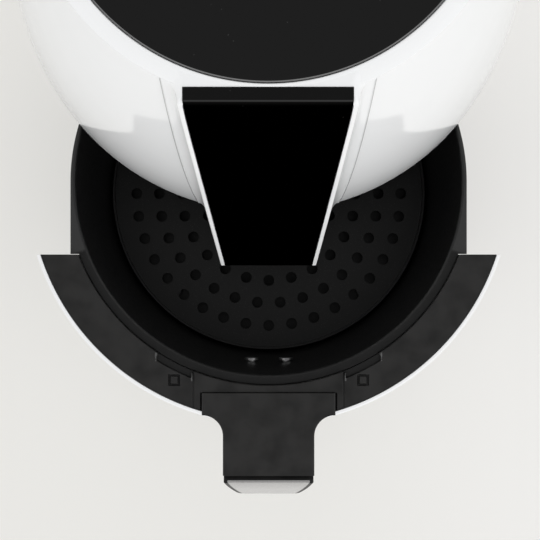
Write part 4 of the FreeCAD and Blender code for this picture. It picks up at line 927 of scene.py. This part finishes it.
def drawer_skin():
    """The white drawer front: the egg's own curve with a wall's thickness, turned to both ends.

    Its upper edge is flat and rounded outwards by a quarter of an ellipse.
    """
    low = FRONT_LOW
    high = FRONT_HIGH - FRONT_EDGE
    inner_low = low + FRONT_WALL
    inner_inset = FRONT_INSET + FRONT_WALL
    rise = np.linspace(low, high, FRONT_STEPS)
    fall = np.linspace(high, inner_low, FRONT_STEPS)
    outside = np.stack([skin_radius(rise, FRONT_INSET), rise], axis=1)
    inside = np.stack([skin_radius(fall, inner_inset), fall], axis=1)
    quarter = arc((-1, 0), 1, 0, 90)[1:]
    shoulder = outside[-1] + quarter * (FRONT_SHOULDER, FRONT_EDGE)
    lip = [(inside[0, 0], FRONT_HIGH)]
    foot_radius = skin_radius(low, inner_inset) - FRONT_LIP
    foot = [(foot_radius, inner_low), (foot_radius, low)]
    profile = np.concatenate([outside, shoulder, lip, inside, foot])
    piece = skin("drawer_skin", spun_front(profile, FRONT_COLUMNS), DRAWER_Y)
    fit(soften(piece, FRONT_EDGE / 4), "drawer", "white_shell", "drawer_front")


def flange_edge(turns):
    """How far the pan's flange reaches at each angle.

    It has a round back, straight sides with a step, and a round nose under the crescent. A
    straight edge reaches its own distance over the sine or cosine of the angle.
    """
    ahead = np.cos(turns)
    step = FLANGE_STEP / np.maximum(ahead, ABOVE_ZERO)
    side = FLANGE_HALF / np.maximum(np.abs(np.sin(turns)), ABOVE_ZERO)
    beside = np.where(ahead > 0, np.minimum(step, side), FLANGE_HALF)
    return np.where(ahead * FLANGE_NOSE > FLANGE_STEP, FLANGE_NOSE, beside)


def pan_bowl():
    """The deep pan: floor, rounded corner, leaning wall, rolled rim and flange, closed below.

    The profile is turned right round. The flange's two points take their radius from the angle,
    and the angles of its corners are among those of the grid.
    """
    bottom = PAN_LOW + PAN_WALL
    outside = PAN_TOP_RADIUS + PAN_WALL
    underside = PAN_HIGH - PAN_WALL
    corner = (PAN_TOP_RADIUS - PAN_DRAFT - PAN_CORNER, bottom + PAN_CORNER)
    within = arc(corner, PAN_CORNER, -90, 0, CORNER_STEPS)
    without = arc(corner, PAN_CORNER + PAN_WALL, 0, -90, CORNER_STEPS)
    rim = arc((PAN_TOP_RADIUS + PAN_RIM, PAN_HIGH - PAN_RIM), PAN_RIM, 180, 90)
    upper = np.concatenate([[(0, bottom)], within, rim])
    flange = [(0, PAN_HIGH), (0, underside)]
    fillet = [(outside + PAN_FILLET, underside), (outside, underside - PAN_FILLET)]
    profile = np.concatenate([upper, flange, fillet, without, [(0, PAN_LOW)]])
    flange_end = len(upper) + len(flange)

    corners = [math.acos(FLANGE_STEP / FLANGE_NOSE), math.atan2(FLANGE_HALF, FLANGE_STEP)]
    turns = np.linspace(-np.pi, np.pi, PAN_COLUMNS, endpoint=False)
    turns = np.sort(np.concatenate([turns, corners, np.negative(corners)]))[:, None]
    on_flange = np.zeros(len(profile))
    on_flange[len(upper) : flange_end] = 1.0
    radius = profile[:, 0] + on_flange * flange_edge(turns)
    in_rails = np.cos(turns) * FLANGE_NOSE < FLANGE_STEP
    # Painted light along the rails and painted shade on the nose, as a mark the finish reads.
    wear = np.zeros(radius.shape)
    wear[:, len(upper) - 1 : flange_end] = np.where(in_rails, RAIL_LIGHT, NOSE_SHADE)
    points = spun(radius, profile[:, 1], turns)
    piece = skin("pan_bowl", points, DRAWER_Y, looped=False, ring=True, wear=wear)
    fit(soften(piece, PAN_WALL / 4), "drawer", "nonstick", "pan")


def handle_stem():
    """The black T of the handle: a flat bar that narrows from its root in two hollow quarters."""
    curve = ROOT_HALF - STEM_HALF
    hollow = arc((ROOT_FRONT + curve, ROOT_HALF), curve, 180, 270, HOLLOW_STEPS)
    end = (TONGUE_REACH - STEM_SHORT, STEM_HALF)
    plan = np.concatenate([[(ROOT_BACK, ROOT_HALF)], hollow, [end]])
    path = np.stack([plan[:, 0], np.full(len(plan), HANDLE_HIGH)], axis=1)
    normals = np.broadcast_to((0.0, 1.0), path.shape)
    thick = HANDLE_HIGH - UNDERSIDE_LOW - UNDERSIDE_PROUD
    return skin("handle_stem", bar(path, normals, plan[:, 1], thick, STEM_EDGE), DRAWER_Y)


def grip_plan(border, top):
    """Half widths down the shield, by distance along it: bowed sides that touch a round end.

    The sides are arcs whose widest place lies a little above the handle's top. A border draws
    both the sides and the end in.
    """
    long = GRIP_LONG + GRIP_RISE
    centre = math.sqrt(GRIP_SIDE_RADIUS**2 - GRIP_RISE**2) - STEM_HALF
    end = (GRIP_SIDE_RADIUS**2 - centre**2 - long**2) / (2 * (GRIP_SIDE_RADIUS - long))
    touch = math.atan2(long - end, centre)
    side = GRIP_SIDE_RADIUS - border
    bowed = np.linspace(math.asin((top + GRIP_RISE) / side), touch, GRIP_SIDE_STEPS)
    turn = np.linspace(touch, math.pi / 2, GRIP_END_STEPS)[1:]
    along = np.concatenate([side * np.sin(bowed), long - end + (end - border) * np.sin(turn)])
    halves = np.concatenate([side * np.cos(bowed) - centre, (end - border) * np.cos(turn)])
    return along - GRIP_RISE, halves


def shield(name, border, top, thick, edge, proud=0.0):
    """A sloping shield: a flat bar with the grip's half widths.

    It goes down the tongue's own slope and then bends back along an arc.
    """
    down, halves = grip_plan(border, top)
    straight = np.minimum(down, GRIP_STRAIGHT)
    tilt = SLOPE - (down - straight) / GRIP_BEND
    normals = np.stack([np.cos(tilt), np.sin(tilt)], axis=1)
    start = TONGUE_REACH + (LIP_HEIGHT - HANDLE_HIGH) * math.tan(SLOPE)
    ahead = start + straight * math.sin(SLOPE) + GRIP_BEND * (np.cos(tilt) - math.cos(SLOPE))
    fall = straight * math.cos(SLOPE) + GRIP_BEND * (math.sin(SLOPE) - np.sin(tilt))
    path = np.stack([ahead, HANDLE_HIGH - fall], axis=1) + proud * normals
    return skin(name, bar(path, normals, halves, thick, edge), DRAWER_Y)


def handle():
    """The black handle in two pieces, stem and sloping end, and the white shield on its front."""
    stem = handle_stem()
    end = shield("handle_end", 0.0, SLAB_TOP, SLAB_THICK, SLAB_EDGE)
    cover = shield("handle_shield", COVER_BORDER, COVER_TOP, COVER_THICK, COVER_EDGE, COVER_PROUD)
    fit(soften(stem, STEM_EDGE), "drawer", "black_plastic", "handle_core")
    fit(soften(end, SLAB_EDGE), "drawer", "black_plastic", "handle_core")
    fit(soften(cover, COVER_EDGE), "drawer", "white_shell", "handle_cover", look="shield_white")


crown_ring()
top_glass()
tongue_frame()
front_glass()
crescent()
drawer_skin()
pan_bowl()
handle()


# Floor, light and camera


def pale_floor():
    """Pale paper, with painted light that makes it a little lighter at the right.

    To the camera it is partly lit from within, to thin its shadow.
    """

    def tone(place):
        # Painted light, lighter towards the right.
        return place.along("X").ramp(*FLOOR_FADE).colour(FLOOR_TONE, FLOOR_TONE_RIGHT)

    def paper(place):
        return {"Base Color": tone(place), "Normal": place.bump(place.noise(2 * MM), 0.02 * MM)}

    made = finish("pale_floor", {"Roughness": 0.9, "Specular IOR Level": 0.1}, paper)
    tree = made.node_tree
    lit = Shade(tree, tree.nodes["Principled BSDF"].outputs[0])
    glow = lit.node("Emission", {}, {"Color": tone(lit.node("TexCoord", {}, {}, "Object"))})
    share = FLOOR_GLOW * lit.ray("Is Camera Ray")
    mixed = lit.node("MixShader", {}, {0: share, 1: lit, 2: glow})
    tree.links.new(mixed.socket, tree.nodes["Material Output"].inputs["Surface"])
    return made


def floor():
    """A wide level sheet under the feet."""
    reach = FLOOR_REACH
    corners = [(-reach, -reach, 0), (reach, -reach, 0), (reach, reach, 0), (-reach, reach, 0)]
    mesh = bpy.data.meshes.new("floor")
    mesh.from_pydata(corners, [], [(0, 1, 2, 3)])
    mesh.materials.append(pale_floor())
    piece = bpy.data.objects.new("floor", mesh)
    bpy.context.scene.collection.objects.link(piece)


def studio_sky():
    """An even pale sky with a broad soft light at the right front.

    That light grows with the square of the cosine of the angle to its middle. In the gloss the
    sky is dim overhead, as under a camera.
    """
    world = bpy.data.worlds.new("studio")
    bpy.context.scene.world = world
    world.use_nodes = True
    tree = world.node_tree
    background = tree.nodes["Background"]
    way = Shade(tree).node("TexCoord", {}, {}, "Generated")
    key = way.node("VectorMath", {"operation": "DOT_PRODUCT"}, {0: way, 1: KEY_WAY}, "Value")
    side = key.ramp(0.0, 1.0)
    overhead = way.along("Z").ramp(math.cos(DIM_FROM), math.cos(DIM_FULL))
    dimmed = (SKY_LIGHT - MIRRORED_LIGHT) * overhead * way.ray("Is Glossy Ray")
    light = SKY_LIGHT + KEY_LIGHT * side * side - dimmed
    seen = way.ray("Is Camera Ray")
    level = light * (1 - seen) + SEEN_LIGHT * seen
    tree.links.new(level.socket, background.inputs["Strength"])
    background.inputs["Color"].default_value = (1, 1, 1, 1)


def camera():
    """A camera that looks straight down, with the picture's up towards the back of the housing."""
    lens = bpy.data.cameras.new("camera")
    lens.sensor_width = SENSOR_WIDTH
    lens.lens = SENSOR_WIDTH * FOCAL_PIXELS / FRAME_PIXELS
    holder = bpy.data.objects.new("camera", lens)
    bpy.context.scene.collection.objects.link(holder)
    holder.location = (CAMERA_X, HOUSING_Y - CAMERA_AHEAD, CAMERA_HEIGHT)
    bpy.context.scene.camera = holder


floor()
studio_sky()
camera()
bpy.context.scene.view_settings.view_transform = "Standard"
